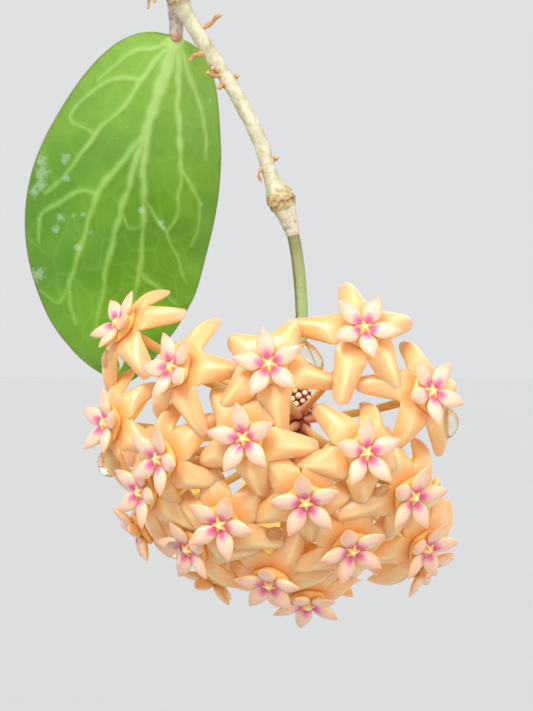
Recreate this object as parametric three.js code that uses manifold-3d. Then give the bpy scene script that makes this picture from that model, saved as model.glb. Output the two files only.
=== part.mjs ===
// A hoya in a plain clay hanging pot: three wires carry the pot from one hook, and an old vine trails over
// the front rim down to a leaf and a hanging ball of flowers. Millimetres, +Z up, the front is towards -Y.
// The origin is the point under the top of the hook where the hook bears on its rail.
import * as THREE from "three";
import { mergeVertices } from "three/addons/utils/BufferGeometryUtils.js";
import Module from "manifold-3d";

const wasm = await Module();
wasm.setup();

// Driving dimensions
const GAP = 0.3;

const HOOK_WIRE = 2.6;
const HOOK_INSIDE = 18;
const SHANK_BOTTOM = -34.2;
const FERRULE_TOP = -30;
const FERRULE_HEIGHT = 12;
const FERRULE_RADIUS = 4.2;
const HANGER_WIRE = 2;
const WIRE_TOP = -36.2;
const WIRE_SPREAD = 2.05;
const HANGER_ANGLES = [90, 210, 330];

const RIM_Z = -128;
const POT_HEIGHT = 78;
const RIM_RADIUS = 52;
const RIM_BAND = 19;
const BASE_RADIUS = 34;
const CLAY = 4.5;
const POT_SIDES = 26;
const DRAIN_RADIUS = 6;
const WIRE_HOLE_RADIUS = 2.2;
const WIRE_HOLE_DROP = 8;
const BASE_Z = RIM_Z - POT_HEIGHT;
const UNDER_BAND = POT_HEIGHT - RIM_BAND;
const WALL_RADIUS = 45.5;
const INSIDE_STEP = UNDER_BAND - 4;
const SOIL_Z = RIM_Z - 17;

const BARK_CHIPS = 14;
const STEM_HOLE_GAP = 1;

const VINE_RADIUS = 1.35;
const SIDE_VINE_RADIUS = 1.2;
const KNOT_RADIUS = 2.1;
const SIDE_KNOT_RADIUS = 1.8;
const BLOOM_KNOT_RADIUS = 2.5;
const KNOT_SPREAD = 2.6;
const LEAF_THICKNESS = 1;
const STALK_LENGTH = 8.5;
const STALK_RADIUS = 1.5;
const HANGING_LEAF_WIDTH = 35;
const HANGING_STALK_RADIUS = 1.75;
const PEDUNCLE_RADIUS = 1.1;
const PEDICEL_RADIUS = 0.75;

const RACHIS = new THREE.Vector3(12, -48, -292);
const RACHIS_TOP = 3.4;
const RACHIS_LENGTH = 9;
const FLOWER_REACH = 37;
const FLOWER_SPACING_DEG = 25.5;
const DOME_AXIS = new THREE.Vector3(-0.15, -0.85, -0.5).normalize();
const DOME_HALF_ANGLE_DEG = 104;
const SPIRAL_PLACES = 200;
const HIGHEST_BACK_FLOWER = -0.1;
const RIGHTMOST_BACK_FLOWER = 0.62;
const PETAL_LENGTH = 13.4;
const PETAL_THICKNESS = 0.8;
const PETAL_FLAT = 4.2;
const REFLEX_CHOICES = [70, 56, 86, 102, 44];
const SWAY_CHOICES = [0, 10, -10];
const ENOUGH_CLEARANCE = 5.4;
const CORONA_LIFT = 1.25;
const CORONA_RADIUS = 6;

// The flowers that face the front, as they look from the front eye: each centre's distance right of and
// above the rachis, the way that one corona lobe points, in degrees anticlockwise from the right, and how
// far the flower's axis leans right and up.
const FRONT_EYE = new THREE.Vector3(6, -498, -283);
const FRONT_FLOWERS = [
  [-32.6, 14.6, 53, -0.75, 0.52],
  [-22.9, 6.7, 95, -0.7, 0.28],
  [-5.6, 7.2, 99, -0.1, 0.25],
  [11.5, 13.7, 62, 0.17, 0.43],
  [23.5, 2.3, 60, 0.58, 0.24],
  [-34.9, -3.4, 82, -0.83, 0.12],
  [-25.4, -9.8, 284, -0.72, -0.13],
  [-10.1, -6.1, 97, -0.31, -0.02],
  [11.8, -8.7, 164, 0.38, 0.02],
  [20.3, -16.6, 76, 0.57, -0.31],
  [-28.6, -15.7, 285, -0.79, -0.16],
  [-14.3, -21.5, 141, -0.3, -0.32],
  [1.0, -17.5, 172, 0.03, -0.42],
  [-20.0, -25.8, 261, -0.65, -0.47],
  [9.3, -26.1, 187, 0.29, -0.54],
  [22.7, -25.8, 20, 0.62, -0.5],
  [-5.5, -32.1, 162, -0.22, -0.73],
  [1.4, -35.8, 344, 0.03, -0.85],
];
const BACK_LEAN = new THREE.Vector3(0, -0.15, 0.12);

// Petals that are seen well from the front, by flower and petal: degrees bent back and leant sideways.
const SEEN_BENDS = {
  "2 3": [106, 6],
  "2 4": [78, 8],
  "3 0": [90, 4],
  "3 2": [66, -2],
  "3 4": [82, 2],
  "4 0": [62, -2],
  "4 1": [58, -6],
  "4 3": [58, -10],
  "5 0": [78, -4],
  "5 1": [62, 8],
  "5 2": [104, 16],
  "8 3": [66, 2],
  "9 4": [86, -2],
  "14 0": [62, 8],
  "15 0": [62, 2],
  "16 0": [102, 0],
  "18 0": [104, 0],
};

const rad = THREE.MathUtils.degToRad;
const GOLDEN_ANGLE = rad(137.508);
const v3 = (x, y, z) => new THREE.Vector3(x, y, z);
const spline = (points) =>
  new THREE.CatmullRomCurve3(points.map((p) => v3(...p)), false, "centripetal");

// A seeded draw from 0 to 1.
function seededDraw(seed) {
  let state = seed;
  return () => {
    state = (state * 16807) % 2147483647;
    return state / 2147483647;
  };
}

// Shapes and booleans
function closedMesh(points, faces) {
  const geometry = new THREE.BufferGeometry();
  const flat = points.flatMap((p) => [p.x, p.y, p.z]);
  geometry.setAttribute("position", new THREE.Float32BufferAttribute(flat, 3));
  geometry.setIndex(faces.flat());
  return geometry;
}

function toSolid(geometry) {
  const bare = new THREE.BufferGeometry();
  bare.setAttribute("position", geometry.getAttribute("position"));
  bare.setIndex(geometry.index);
  const merged = mergeVertices(bare, 1e-4);
  return new wasm.Manifold(
    new wasm.Mesh({
      numProp: 3,
      vertProperties: merged.getAttribute("position").array,
      triVerts: new Uint32Array(merged.index.array),
    }),
  );
}

function toGeometry(solid) {
  const mesh = solid.getMesh();
  const geometry = new THREE.BufferGeometry();
  geometry.setAttribute("position", new THREE.Float32BufferAttribute(mesh.vertProperties, 3));
  geometry.setIndex(new THREE.BufferAttribute(mesh.triVerts, 1));
  return geometry;
}

function fused(geometries) {
  return wasm.Manifold.union(geometries.map(toSolid));
}

// The largest of a solid's separate bodies, which leaves out slivers from a cut.
function mainBody(solid) {
  return solid.decompose().sort((a, b) => b.volume() - a.volume())[0];
}

// A round rod of one thickness along a path.
function rod(path, diameter, sides, steps) {
  const section = new THREE.Shape();
  section.absarc(0, 0, diameter / 2, 0, Math.PI * 2);
  const corners = section.getSpacedPoints(sides).slice(0, sides);
  const settings = { steps, extrudePath: path, bevelEnabled: false };
  return new THREE.ExtrudeGeometry(new THREE.Shape(corners), settings);
}

// A closed round limb whose thickness changes along its path: radiusAt takes the share of the length.
function limb(curve, radiusAt, sides, steps) {
  const frames = curve.computeFrenetFrames(steps, false);
  const points = [];
  const faces = [];
  for (let i = 0; i <= steps; i++) {
    const centre = curve.getPointAt(i / steps);
    const radius = radiusAt(i / steps);
    for (let j = 0; j < sides; j++) {
      const turn = (j / sides) * Math.PI * 2;
      points.push(
        centre
          .clone()
          .addScaledVector(frames.normals[i], Math.cos(turn) * radius)
          .addScaledVector(frames.binormals[i], Math.sin(turn) * radius),
      );
    }
  }
  for (let i = 0; i < steps; i++) {
    for (let j = 0; j < sides; j++) {
      const a = i * sides + j;
      const b = i * sides + ((j + 1) % sides);
      faces.push([a, b, b + sides], [a, b + sides, a + sides]);
    }
  }
  const last = steps * sides;
  for (let j = 1; j < sides - 1; j++) {
    faces.push([0, j + 1, j], [last, last + j, last + j + 1]);
  }
  return closedMesh(points, faces);
}

const group = new THREE.Group();
const finishes = {
  clay: new THREE.MeshStandardMaterial({ color: 0xb5643f, roughness: 0.9, metalness: 0 }),
  soil: new THREE.MeshStandardMaterial({ color: 0x4a3424, roughness: 1, metalness: 0 }),
  wire: new THREE.MeshStandardMaterial({ color: 0x9a9c9c, roughness: 0.4, metalness: 1 }),
  bark: new THREE.MeshStandardMaterial({ color: 0xb9ae8e, roughness: 0.85, metalness: 0 }),
  leaf: new THREE.MeshStandardMaterial({ color: 0x5f9a2c, roughness: 0.35, metalness: 0 }),
  peduncle: new THREE.MeshStandardMaterial({ color: 0x93a86b, roughness: 0.7, metalness: 0 }),
  petal: new THREE.MeshStandardMaterial({ color: 0xf7b96c, roughness: 0.35, metalness: 0 }),
  corona: new THREE.MeshStandardMaterial({ color: 0xf9d3c4, roughness: 0.25, metalness: 0 }),
};

function addNode(name, geometry, finish) {
  const mesh = new THREE.Mesh(geometry, finishes[finish]);
  mesh.name = name;
  group.add(mesh);
}

// The radius of the pot's inside at a height above its base.
function potInside(up) {
  const [low, mid, high] = [BASE_RADIUS - CLAY + 0.5, WALL_RADIUS - CLAY, RIM_RADIUS - CLAY];
  if (up < INSIDE_STEP) return THREE.MathUtils.mapLinear(up, CLAY, INSIDE_STEP, low, mid);
  return THREE.MathUtils.mapLinear(up, INSIDE_STEP, POT_HEIGHT, mid, high);
}

// The clay pot: a tapered wall with a rim band, a drain hole, and three small holes for the wires.
function potSolid() {
  const profile = [
    [DRAIN_RADIUS, 0],
    [BASE_RADIUS - 1.5, 0],
    [BASE_RADIUS, 1.5],
    [WALL_RADIUS, UNDER_BAND],
    [RIM_RADIUS - 2.5, UNDER_BAND + 2],
    [RIM_RADIUS, POT_HEIGHT - 1.2],
    [RIM_RADIUS - 1.2, POT_HEIGHT],
    [potInside(POT_HEIGHT), POT_HEIGHT],
    [potInside(INSIDE_STEP), INSIDE_STEP],
    [potInside(CLAY), CLAY],
    [DRAIN_RADIUS, CLAY],
    [DRAIN_RADIUS, 0],
  ];
  const lathe = new THREE.LatheGeometry(profile.map(([r, z]) => new THREE.Vector2(r, z)), POT_SIDES);
  lathe.rotateX(Math.PI / 2);
  lathe.translate(0, 0, BASE_Z);
  let pot = toSolid(lathe);
  for (const angle of HANGER_ANGLES) {
    const drill = new THREE.CylinderGeometry(WIRE_HOLE_RADIUS, WIRE_HOLE_RADIUS, 20, 8);
    drill.rotateZ(Math.PI / 2);
    drill.translate(RIM_RADIUS - 2, 0, RIM_Z - WIRE_HOLE_DROP);
    drill.rotateZ(rad(angle));
    pot = pot.subtract(toSolid(drill));
  }
  return pot;
}

// The hook: a shank up the middle, then a round curl open at the lower left.
function hookGeometry() {
  const r = (HOOK_INSIDE + HOOK_WIRE) / 2;
  const centreZ = -HOOK_INSIDE / 2;
  const curl = [];
  for (let turn = -58; turn <= 206; turn += 24) {
    curl.push([Math.cos(rad(turn)) * r, 0, centreZ + Math.sin(rad(turn)) * r]);
  }
  const path = spline([
    [0, 0, SHANK_BOTTOM],
    [0, 0, SHANK_BOTTOM + 8],
    [0.6, 0, centreZ - r - 3.2],
    ...curl,
    [-r - 2.2, 0, centreZ - 8.5],
  ]);
  return rod(path, HOOK_WIRE, 7, 24);
}

// One hanger wire: from the ferrule down to the rim, through its hole, and up inside.
function hangerWire(angle) {
  const outside = RIM_RADIUS + HANGER_WIRE / 2 + 0.6;
  const holeUp = POT_HEIGHT - WIRE_HOLE_DROP;
  const holeZ = RIM_Z - WIRE_HOLE_DROP;
  const inside = potInside(holeUp) - HANGER_WIRE / 2 - 0.9;
  const ferruleBottom = FERRULE_TOP - FERRULE_HEIGHT;
  const path = spline([
    [WIRE_SPREAD, 0, WIRE_TOP],
    [WIRE_SPREAD, 0, WIRE_TOP - 3],
    [WIRE_SPREAD, 0, ferruleBottom - 2.5],
    [WIRE_SPREAD + 1.6, 0, ferruleBottom - 7],
    [outside - 2.4, 0, RIM_Z + 6],
    [outside, 0, RIM_Z + 0.5],
    [outside + 0.2, 0, holeZ + 2.6],
    [outside - 1.4, 0, holeZ + 0.2],
    [(outside + inside) / 2, 0, holeZ - 0.2],
    [inside + 1.6, 0, holeZ + 0.2],
    [inside, 0, holeZ + 1.8],
    [inside, 0, holeZ + 5],
  ]);
  const wire = rod(path, HANGER_WIRE, 5, 22);
  wire.rotateZ(rad(angle));
  return wire;
}

function ferruleSolid() {
  const body = new THREE.CylinderGeometry(FERRULE_RADIUS, FERRULE_RADIUS, FERRULE_HEIGHT, 12);
  body.rotateX(Math.PI / 2);
  body.translate(0, 0, FERRULE_TOP - FERRULE_HEIGHT / 2);
  const socketRadius = HOOK_WIRE / 2 + GAP;
  const socket = new THREE.CylinderGeometry(socketRadius, socketRadius, 20, 10);
  socket.rotateX(Math.PI / 2);
  socket.translate(0, 0, SHANK_BOTTOM - GAP + 10);
  let ferrule = toSolid(body).subtract(toSolid(socket));
  for (const angle of HANGER_ANGLES) {
    const bore = new THREE.CylinderGeometry(HANGER_WIRE / 2 + GAP, HANGER_WIRE / 2 + GAP, 20, 8);
    bore.rotateX(Math.PI / 2);
    bore.translate(WIRE_SPREAD, 0, WIRE_TOP + GAP - 10);
    bore.rotateZ(rad(angle));
    ferrule = ferrule.subtract(toSolid(bore));
  }
  return ferrule;
}

// Vines. A vine is a path with knots where its leaves and roots grow.
const MAIN_VINE = [
  [-5, -13, SOIL_Z - 20],
  [-6, -15, SOIL_Z],
  [-8, -21, -118],
  [-10, -34, -103],
  [-12, -50, -101],
  [-14, -64, -113],
  [-14, -69, -137],
  [-13, -67, -163],
  [-12, -62, -188],
  [-11, -55, -208],
  [-10, -51, -218.5],
  [-6, -50.2, -226],
  [-0.6, -50, -234.4],
  [4.3, -49.6, -243.4],
  [7, -49.2, -251.5],
  [8.8, -49, -255.6],
  [9.9, -48.8, -258.6],
];
const UPRIGHT_VINE = [
  [-13, 13, SOIL_Z - 18],
  [-14, 15, SOIL_Z],
  [-18, 20, -120],
  [-22, 25, -95],
  [-23, 27, -72],
];
const BACK_VINE = [
  [13, 10, SOIL_Z - 18],
  [14, 12, SOIL_Z],
  [20, 18, -119],
  [32, 27, -107],
  [46, 38, -109],
  [55, 46, -125],
  [57, 48, -146],
  [56, 48, -163],
];

// The share of a path's length at which it passes nearest to a point.
function shareNear(path, point) {
  let best = 0;
  for (let i = 0; i <= 400; i++) {
    const share = i / 400;
    if (path.getPointAt(share).distanceTo(point) < path.getPointAt(best).distanceTo(point)) best = share;
  }
  return best;
}

// A vine: its path, its plain radius, and its knots, each with a place and a radius.
function makeVine(points, radius, knots, steps) {
  const path = spline(points);
  return { path, radius, steps, knots: knots.map((knot) => ({ ...knot, share: shareNear(path, knot.at) })) };
}

function vineLimb(vine, extra = 0) {
  const length = vine.path.getLength();
  const swell = (knot, share) => {
    const away = ((share - knot.share) * length) / KNOT_SPREAD;
    return (knot.radius - vine.radius) * Math.exp(-away * away);
  };
  const widest = (share) => Math.max(0, ...vine.knots.map((knot) => swell(knot, share)));
  return limb(vine.path, (share) => vine.radius + extra + widest(share), 6, vine.steps);
}

// A short root or dried shoot from a vine. It starts inside the vine and tapers to a blunt end.
function shoot(points, thick, thin) {
  return limb(spline(points), (share) => thick + (thin - thick) * share, 3, 4);
}

const mainKnots = [
  { at: v3(-10, -34, -103), radius: KNOT_RADIUS },
  { at: v3(-13, -67, -163), radius: KNOT_RADIUS },
  { at: v3(-10, -51, -218.5), radius: KNOT_RADIUS },
  { at: v3(8.6, -49, -255.1), radius: BLOOM_KNOT_RADIUS },
];
const uprightKnots = [
  { at: v3(-19, 21, -112), radius: SIDE_KNOT_RADIUS },
  { at: v3(-22.5, 26, -88), radius: SIDE_KNOT_RADIUS },
];
const backKnots = [
  { at: v3(32, 27, -107), radius: SIDE_KNOT_RADIUS },
  { at: v3(57, 48, -143), radius: SIDE_KNOT_RADIUS },
];
const mainVine = makeVine(MAIN_VINE, VINE_RADIUS, mainKnots, 50);
const uprightVine = makeVine(UPRIGHT_VINE, SIDE_VINE_RADIUS, uprightKnots, 18);
const backVine = makeVine(BACK_VINE, SIDE_VINE_RADIUS, backKnots, 24);

// Aerial roots on the main vine: the height at which each leaves the vine's middle, its next points from
// there, and its thickness at the vine and at its end.
const MAIN_ROOTS = [
  { z: -226.2, to: [[1.2, -0.4, 1.2], [2.8, -0.8, 2.6], [4, -1, 3.6]], thick: 0.45, thin: 0.35 },
  { z: -228.2, to: [[-1.4, -0.8, -0.8], [-3.2, -1.4, -1.8]], thick: 0.5, thin: 0.3 },
  { z: -230.9, to: [[-1.8, -0.8, -0.6], [-3.6, -1.2, -1.2]], thick: 0.55, thin: 0.35 },
  { z: -234.4, to: [[-1.4, -0.6, -1.2], [-2.4, -0.8, -2.2]], thick: 0.6, thin: 0.3 },
  { z: -233.9, to: [[1.2, -0.4, 0.8], [2.2, -0.6, 1.4]], thick: 0.5, thin: 0.35 },
  { z: -247.2, to: [[1, -0.2, 0.6], [2, -0.4, 1.1]], thick: 0.45, thin: 0.35 },
  { z: -249.2, to: [[-1.2, -0.4, -0.8], [-1.9, -0.6, -1.8], [-1.4, -0.6, -2.9]], thick: 0.4, thin: 0.3 },
  { z: -218.2, to: [[-2, -1, 0.6], [-4.4, -1.8, 0], [-5.2, -1.8, -2.4]], thick: 0.5, thin: 0.3 },
  { z: -150, to: [[-2.4, 0, -1], [-3, 0.6, -4]], thick: 0.5, thin: 0.3 },
  { z: -182, to: [[2.2, -0.6, -1], [3, -1, -4]], thick: 0.5, thin: 0.3 },
];

// The point of the hanging part of the vine's middle at a height.
function vinePointAt(path, z) {
  let share = 1;
  while (path.getPointAt(share).z < z) share -= 0.0025;
  return path.getPointAt(share);
}

function mainRoot({ z, to, thick, thin }) {
  const start = vinePointAt(mainVine.path, z);
  const points = [[0, 0, 0], ...to].map(([x, y, up]) => [start.x + x, start.y + y, start.z + up]);
  return shoot(points, thick, thin);
}

// Leaves. The midrib is a curve, and side gives the way across it at each share of its length.
// The base is round, the tip is blunt, and the edge bends down a little from the midrib.
const leafOutline = (t) => Math.sin(Math.PI * t ** 0.97) ** (0.42 + 0.22 * t);

function bladeGeometry(midrib, sideAt, width, rows, spans, cup) {
  const points = [];
  const faces = [];
  const place = (t, v, face) => {
    const across = sideAt(t);
    const up = midrib.getTangentAt(t).cross(across).normalize();
    const reach = (width / 2) * (t <= 0 || t >= 1 ? 0 : leafOutline(t));
    return midrib
      .getPointAt(t)
      .addScaledVector(across, v * reach)
      .addScaledVector(up, (face * LEAF_THICKNESS) / 2 - cup * v * v * (reach / width));
  };
  for (const face of [1, -1]) points.push(place(0, 0, face), place(1, 0, face));
  const first = points.length;
  const columns = spans + 1;
  const at = (row, column, under) => first + (row * columns + column) * 2 + under;
  for (let row = 0; row < rows; row++) {
    const t = (row + 0.6) / (rows + 0.2);
    for (let column = 0; column < columns; column++) {
      const v = (column / spans) * 2 - 1;
      points.push(place(t, v, 1), place(t, v, -1));
    }
  }
  const quad = (a, b, c, d) => faces.push([a, b, c], [a, c, d]);
  for (let row = 0; row < rows - 1; row++) {
    for (let column = 0; column < spans; column++) {
      quad(at(row, column, 0), at(row + 1, column, 0), at(row + 1, column + 1, 0), at(row, column + 1, 0));
      quad(at(row, column, 1), at(row, column + 1, 1), at(row + 1, column + 1, 1), at(row + 1, column, 1));
    }
    quad(at(row, 0, 0), at(row, 0, 1), at(row + 1, 0, 1), at(row + 1, 0, 0));
    quad(at(row, spans, 0), at(row + 1, spans, 0), at(row + 1, spans, 1), at(row, spans, 1));
  }
  for (let column = 0; column < spans; column++) {
    const next = column + 1;
    const end = rows - 1;
    faces.push([0, at(0, column, 0), at(0, next, 0)], [2, at(0, next, 1), at(0, column, 1)]);
    faces.push([1, at(end, next, 0), at(end, column, 0)], [3, at(end, column, 1), at(end, next, 1)]);
  }
  for (const [tip, row, a, b] of [
    [0, 0, 0, spans],
    [1, rows - 1, spans, 0],
  ]) {
    const under = tip + 2;
    quad(tip, under, at(row, a, 1), at(row, a, 0));
    quad(tip, at(row, b, 0), at(row, b, 1), under);
  }
  return closedMesh(points, faces);
}

// A leaf on its stalk, cut clear of the vine that it grows from.
function seated(leaf, vine) {
  return mainBody(leaf.subtract(toSolid(vineLimb(vine, GAP))));
}

// A leaf from a knot. Its midrib starts at heading and pitch and bends down by droop, and roll turns the
// blade about it.
function leafSolid({ vine, knot, heading, pitch, droop, length, width, roll }) {
  const out = v3(Math.cos(rad(heading)), Math.sin(rad(heading)), 0);
  const level = v3(-out.y, out.x, 0);
  const aim = (share) => {
    const p = rad(pitch - droop * share);
    return out.clone().multiplyScalar(Math.cos(p)).add(v3(0, 0, Math.sin(p)));
  };
  const steps = 6;
  const here = vine.path.getPointAt(vine.knots[knot].share).addScaledVector(aim(0), STALK_LENGTH);
  const points = [here.clone()];
  for (let i = 0; i < steps; i++) {
    points.push(here.addScaledVector(aim((i + 0.5) / steps), length / steps).clone());
  }
  const midrib = new THREE.CatmullRomCurve3(points, false, "centripetal");
  const sideAt = (t) => level.clone().applyAxisAngle(midrib.getTangentAt(t), rad(roll));
  const blade = bladeGeometry(midrib, sideAt, width, 6, 4, 9);
  const root = points[0].clone().addScaledVector(aim(0), 1 - STALK_LENGTH);
  const stalk = new THREE.LineCurve3(root, midrib.getPointAt(0.07));
  return seated(fused([blade, limb(stalk, (share) => STALK_RADIUS * (1 - share / 3), 4, 2)]), vine);
}

// The leaf that hangs beside the flowers, with its short thick stalk.
const HANGING_LEAF_MIDRIB = [
  [-10.4, -47.5, -225.6],
  [-17, -43, -242],
  [-20.8, -39, -258.5],
  [-21.8, -36, -272],
  [-21.2, -34.6, -280],
  [-19.8, -33.5, -288],
];

function hangingLeafSolid() {
  const midrib = spline(HANGING_LEAF_MIDRIB);
  const right = v3(1, 0.12, 0.05);
  const sideAt = (t) => {
    const along = midrib.getTangentAt(t);
    return right.clone().addScaledVector(along, -right.dot(along)).normalize();
  };
  const blade = bladeGeometry(midrib, sideAt, HANGING_LEAF_WIDTH, 10, 6, 6);
  const stalk = spline([
    [-10.1, -49.8, -218.6],
    [-10.2, -47.6, -219.4],
    [-10.2, -46.8, -222.5],
    [-10.8, -46.9, -227.5],
  ]);
  const stalkLimb = limb(stalk, (share) => HANGING_STALK_RADIUS * (1 - share / 3), 6, 5);
  return seated(fused([blade, stalkLimb]), mainVine);
}

// Flowers. Those of the front are placed one by one, and the rest fill the dome behind
// them along a golden-angle spiral, kept a flower's breadth apart.
function flowerPlaces() {
  const places = FRONT_FLOWERS.map(([right, up, lobe, leanX, leanZ]) => {
    const axis = v3(leanX, -Math.sqrt(1 - leanX ** 2 - leanZ ** 2), leanZ);
    return { way: seenPlace(right, up), axis, first: seenLobe(axis, lobe) };
  });
  for (let i = 0; i < SPIRAL_PLACES; i++) {
    const z = 1 - (2 * i + 1) / SPIRAL_PLACES;
    const turn = i * GOLDEN_ANGLE;
    const way = v3(Math.cos(turn) * Math.sqrt(1 - z * z), Math.sin(turn) * Math.sqrt(1 - z * z), z);
    if (way.angleTo(DOME_AXIS) > rad(DOME_HALF_ANGLE_DEG) || way.y < -0.12) continue;
    if (way.z > HIGHEST_BACK_FLOWER || way.x > RIGHTMOST_BACK_FLOWER) continue;
    if (places.some((p) => p.way.angleTo(way) <= rad(FLOWER_SPACING_DEG))) continue;
    const axis = way.clone().add(BACK_LEAN).normalize();
    places.push({ way, axis, first: backLobe(axis, places.length) });
  }
  return places.map(({ way, axis, first }) => {
    const centre = RACHIS.clone().addScaledVector(way, FLOWER_REACH);
    return { way, axis, centre, first, second: axis.clone().cross(first) };
  });
}

// The way from the rachis to the near point of the flower ball that the front eye sees at right and up.
function seenPlace(right, up) {
  const sight = new THREE.Ray(FRONT_EYE, v3(right, 0, up).add(RACHIS).sub(FRONT_EYE).normalize());
  const near = sight.intersectSphere(new THREE.Sphere(RACHIS, FLOWER_REACH), v3(0, 0, 0));
  return near.sub(RACHIS).normalize();
}

// The direction square to a flower's axis that looks, from the front, as if it points at the angle lobe.
function seenLobe(axis, lobe) {
  const seen = v3(Math.cos(rad(lobe)), 0, Math.sin(rad(lobe)));
  seen.y = -seen.dot(axis) / axis.y;
  return seen.normalize();
}

function backLobe(axis, i) {
  const level = axis.clone().cross(v3(0, 0, 1)).normalize();
  return level.applyAxisAngle(axis, rad(i * 47));
}

// A point of a flower: out from its axis at an angle, and above its centre.
function flowerPoint(flower, radius, angle, height) {
  return flower.centre
    .clone()
    .addScaledVector(flower.first, Math.cos(angle) * radius)
    .addScaledVector(flower.second, Math.sin(angle) * radius)
    .addScaledVector(flower.axis, height);
}

// The midline of a petal at a distance along it: flat at first, then bent back, by reflex degrees at the tip.
function petalMidline(distance, reflex) {
  const bent = Math.max(0, distance - PETAL_FLAT);
  const radius = (PETAL_LENGTH - PETAL_FLAT) / rad(reflex);
  const turn = bent / radius;
  return {
    out: Math.min(distance, PETAL_FLAT) + radius * Math.sin(turn),
    up: -CORONA_LIFT - radius * (1 - Math.cos(turn)),
    turn,
  };
}

const petalAngle = (k) => rad(36 + 72 * k);

// The way out from a flower's axis at an angle round it.
function outward(flower, angle) {
  const along = flower.first.clone().multiplyScalar(Math.cos(angle));
  return along.addScaledVector(flower.second, Math.sin(angle));
}

// A petal leans sideways by its sway, more and more towards the tip.
function petalTurn(k, sway, distance) {
  return petalAngle(k) + rad((sway * distance) / PETAL_LENGTH);
}

function petalSamples(flower, k, { reflex, sway }) {
  return [0.5, 0.65, 0.8, 0.9, 1].map((share) => {
    const distance = share * PETAL_LENGTH;
    const line = petalMidline(distance, reflex);
    return flowerPoint(flower, line.out, petalTurn(k, sway, distance), line.up);
  });
}

function coronaSamples(flower) {
  return [0, 1, 2, 3, 4].map((k) => flowerPoint(flower, CORONA_RADIUS * 0.6, rad(72 * k), 0.5));
}

// Each petal bends back and leans as it is seen to, or else by the amounts that keep it clearest of the
// coronas and of the petals set before it.
function setPetals(flowers) {
  const set = flowers.map((flower) => ({ flower, samples: coronaSamples(flower) }));
  for (const [number, flower] of flowers.entries()) {
    flower.petals = [];
    const near = set.filter(
      (other) => other.flower !== flower && other.flower.centre.distanceTo(flower.centre) < 2 * PETAL_LENGTH,
    );
    for (let k = 0; k < 5; k++) {
      const seen = SEEN_BENDS[number + 1 + " " + k];
      let best = { clear: -1 };
      for (const sway of seen ? [seen[1]] : SWAY_CHOICES) {
        for (const reflex of seen ? [seen[0]] : REFLEX_CHOICES) {
          const samples = petalSamples(flower, k, { reflex, sway });
          let clear = ENOUGH_CLEARANCE;
          for (const other of near) {
            for (const a of samples) for (const b of other.samples) clear = Math.min(clear, a.distanceTo(b));
          }
          if (clear > best.clear + 0.2) best = { clear, reflex, sway, samples };
        }
      }
      flower.petals.push(best);
      set.push({ flower, samples: best.samples });
    }
  }
}

// The ring of five petals, joined round the middle, each roofed along its midline with its edges rolled back.
const PETAL_ROWS = [
  { distance: 9.6, half: 2.6, drop: 1.2 },
  { distance: PETAL_LENGTH, half: 1.5, drop: 0.9 },
];

function corollaGeometry(flower) {
  const points = [];
  const faces = [];
  const add = (radius, angle, up) => {
    const top = flowerPoint(flower, radius, angle, up);
    points.push(top, top.clone().addScaledVector(flower.axis, -PETAL_THICKNESS));
    return points.length - 2;
  };
  const middle = add(0, 0, -CORONA_LIFT);
  const outer = [];
  for (let j = 0; j < 10; j++) {
    const angle = rad(36 * j);
    outer.push(add(j % 2 ? 5.6 : 5, angle, -CORONA_LIFT - (j % 2 ? 0.1 : 0.5)));
  }
  const skin = (a, b, c) => faces.push([a, b, c], [a + 1, c + 1, b + 1]);
  const sheet = (a, b, c, d) => {
    skin(a, b, c);
    skin(a, c, d);
  };
  const edge = (a, b) => faces.push([a, a + 1, b + 1], [a, b + 1, b]);
  for (let j = 0; j < 10; j++) skin(middle, outer[j], outer[(j + 1) % 10]);
  for (let k = 0; k < 5; k++) {
    const { reflex, sway } = flower.petals[k];
    let before = [outer[2 * k], outer[2 * k + 1], outer[(2 * k + 2) % 10]];
    for (const { distance, half, drop } of PETAL_ROWS) {
      const line = petalMidline(distance, reflex);
      const turn = petalTurn(k, sway, distance);
      const radial = outward(flower, turn);
      const across = flower.axis.clone().cross(radial);
      const crest = flowerPoint(flower, line.out, turn, line.up);
      const down = flower.axis.clone().multiplyScalar(-Math.cos(line.turn));
      down.addScaledVector(radial, -Math.sin(line.turn));
      const row = [-1, 0, 1].map((side) => {
        const top = crest.clone().addScaledVector(across, side * half);
        if (side) top.addScaledVector(down, drop);
        points.push(top, top.clone().addScaledVector(down, PETAL_THICKNESS));
        return points.length - 2;
      });
      sheet(before[0], row[0], row[1], before[1]);
      sheet(before[1], row[1], row[2], before[2]);
      edge(before[0], row[0]);
      edge(row[2], before[2]);
      before = row;
    }
    edge(before[0], before[1]);
    edge(before[1], before[2]);
  }
  return closedMesh(points, faces);
}

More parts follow.
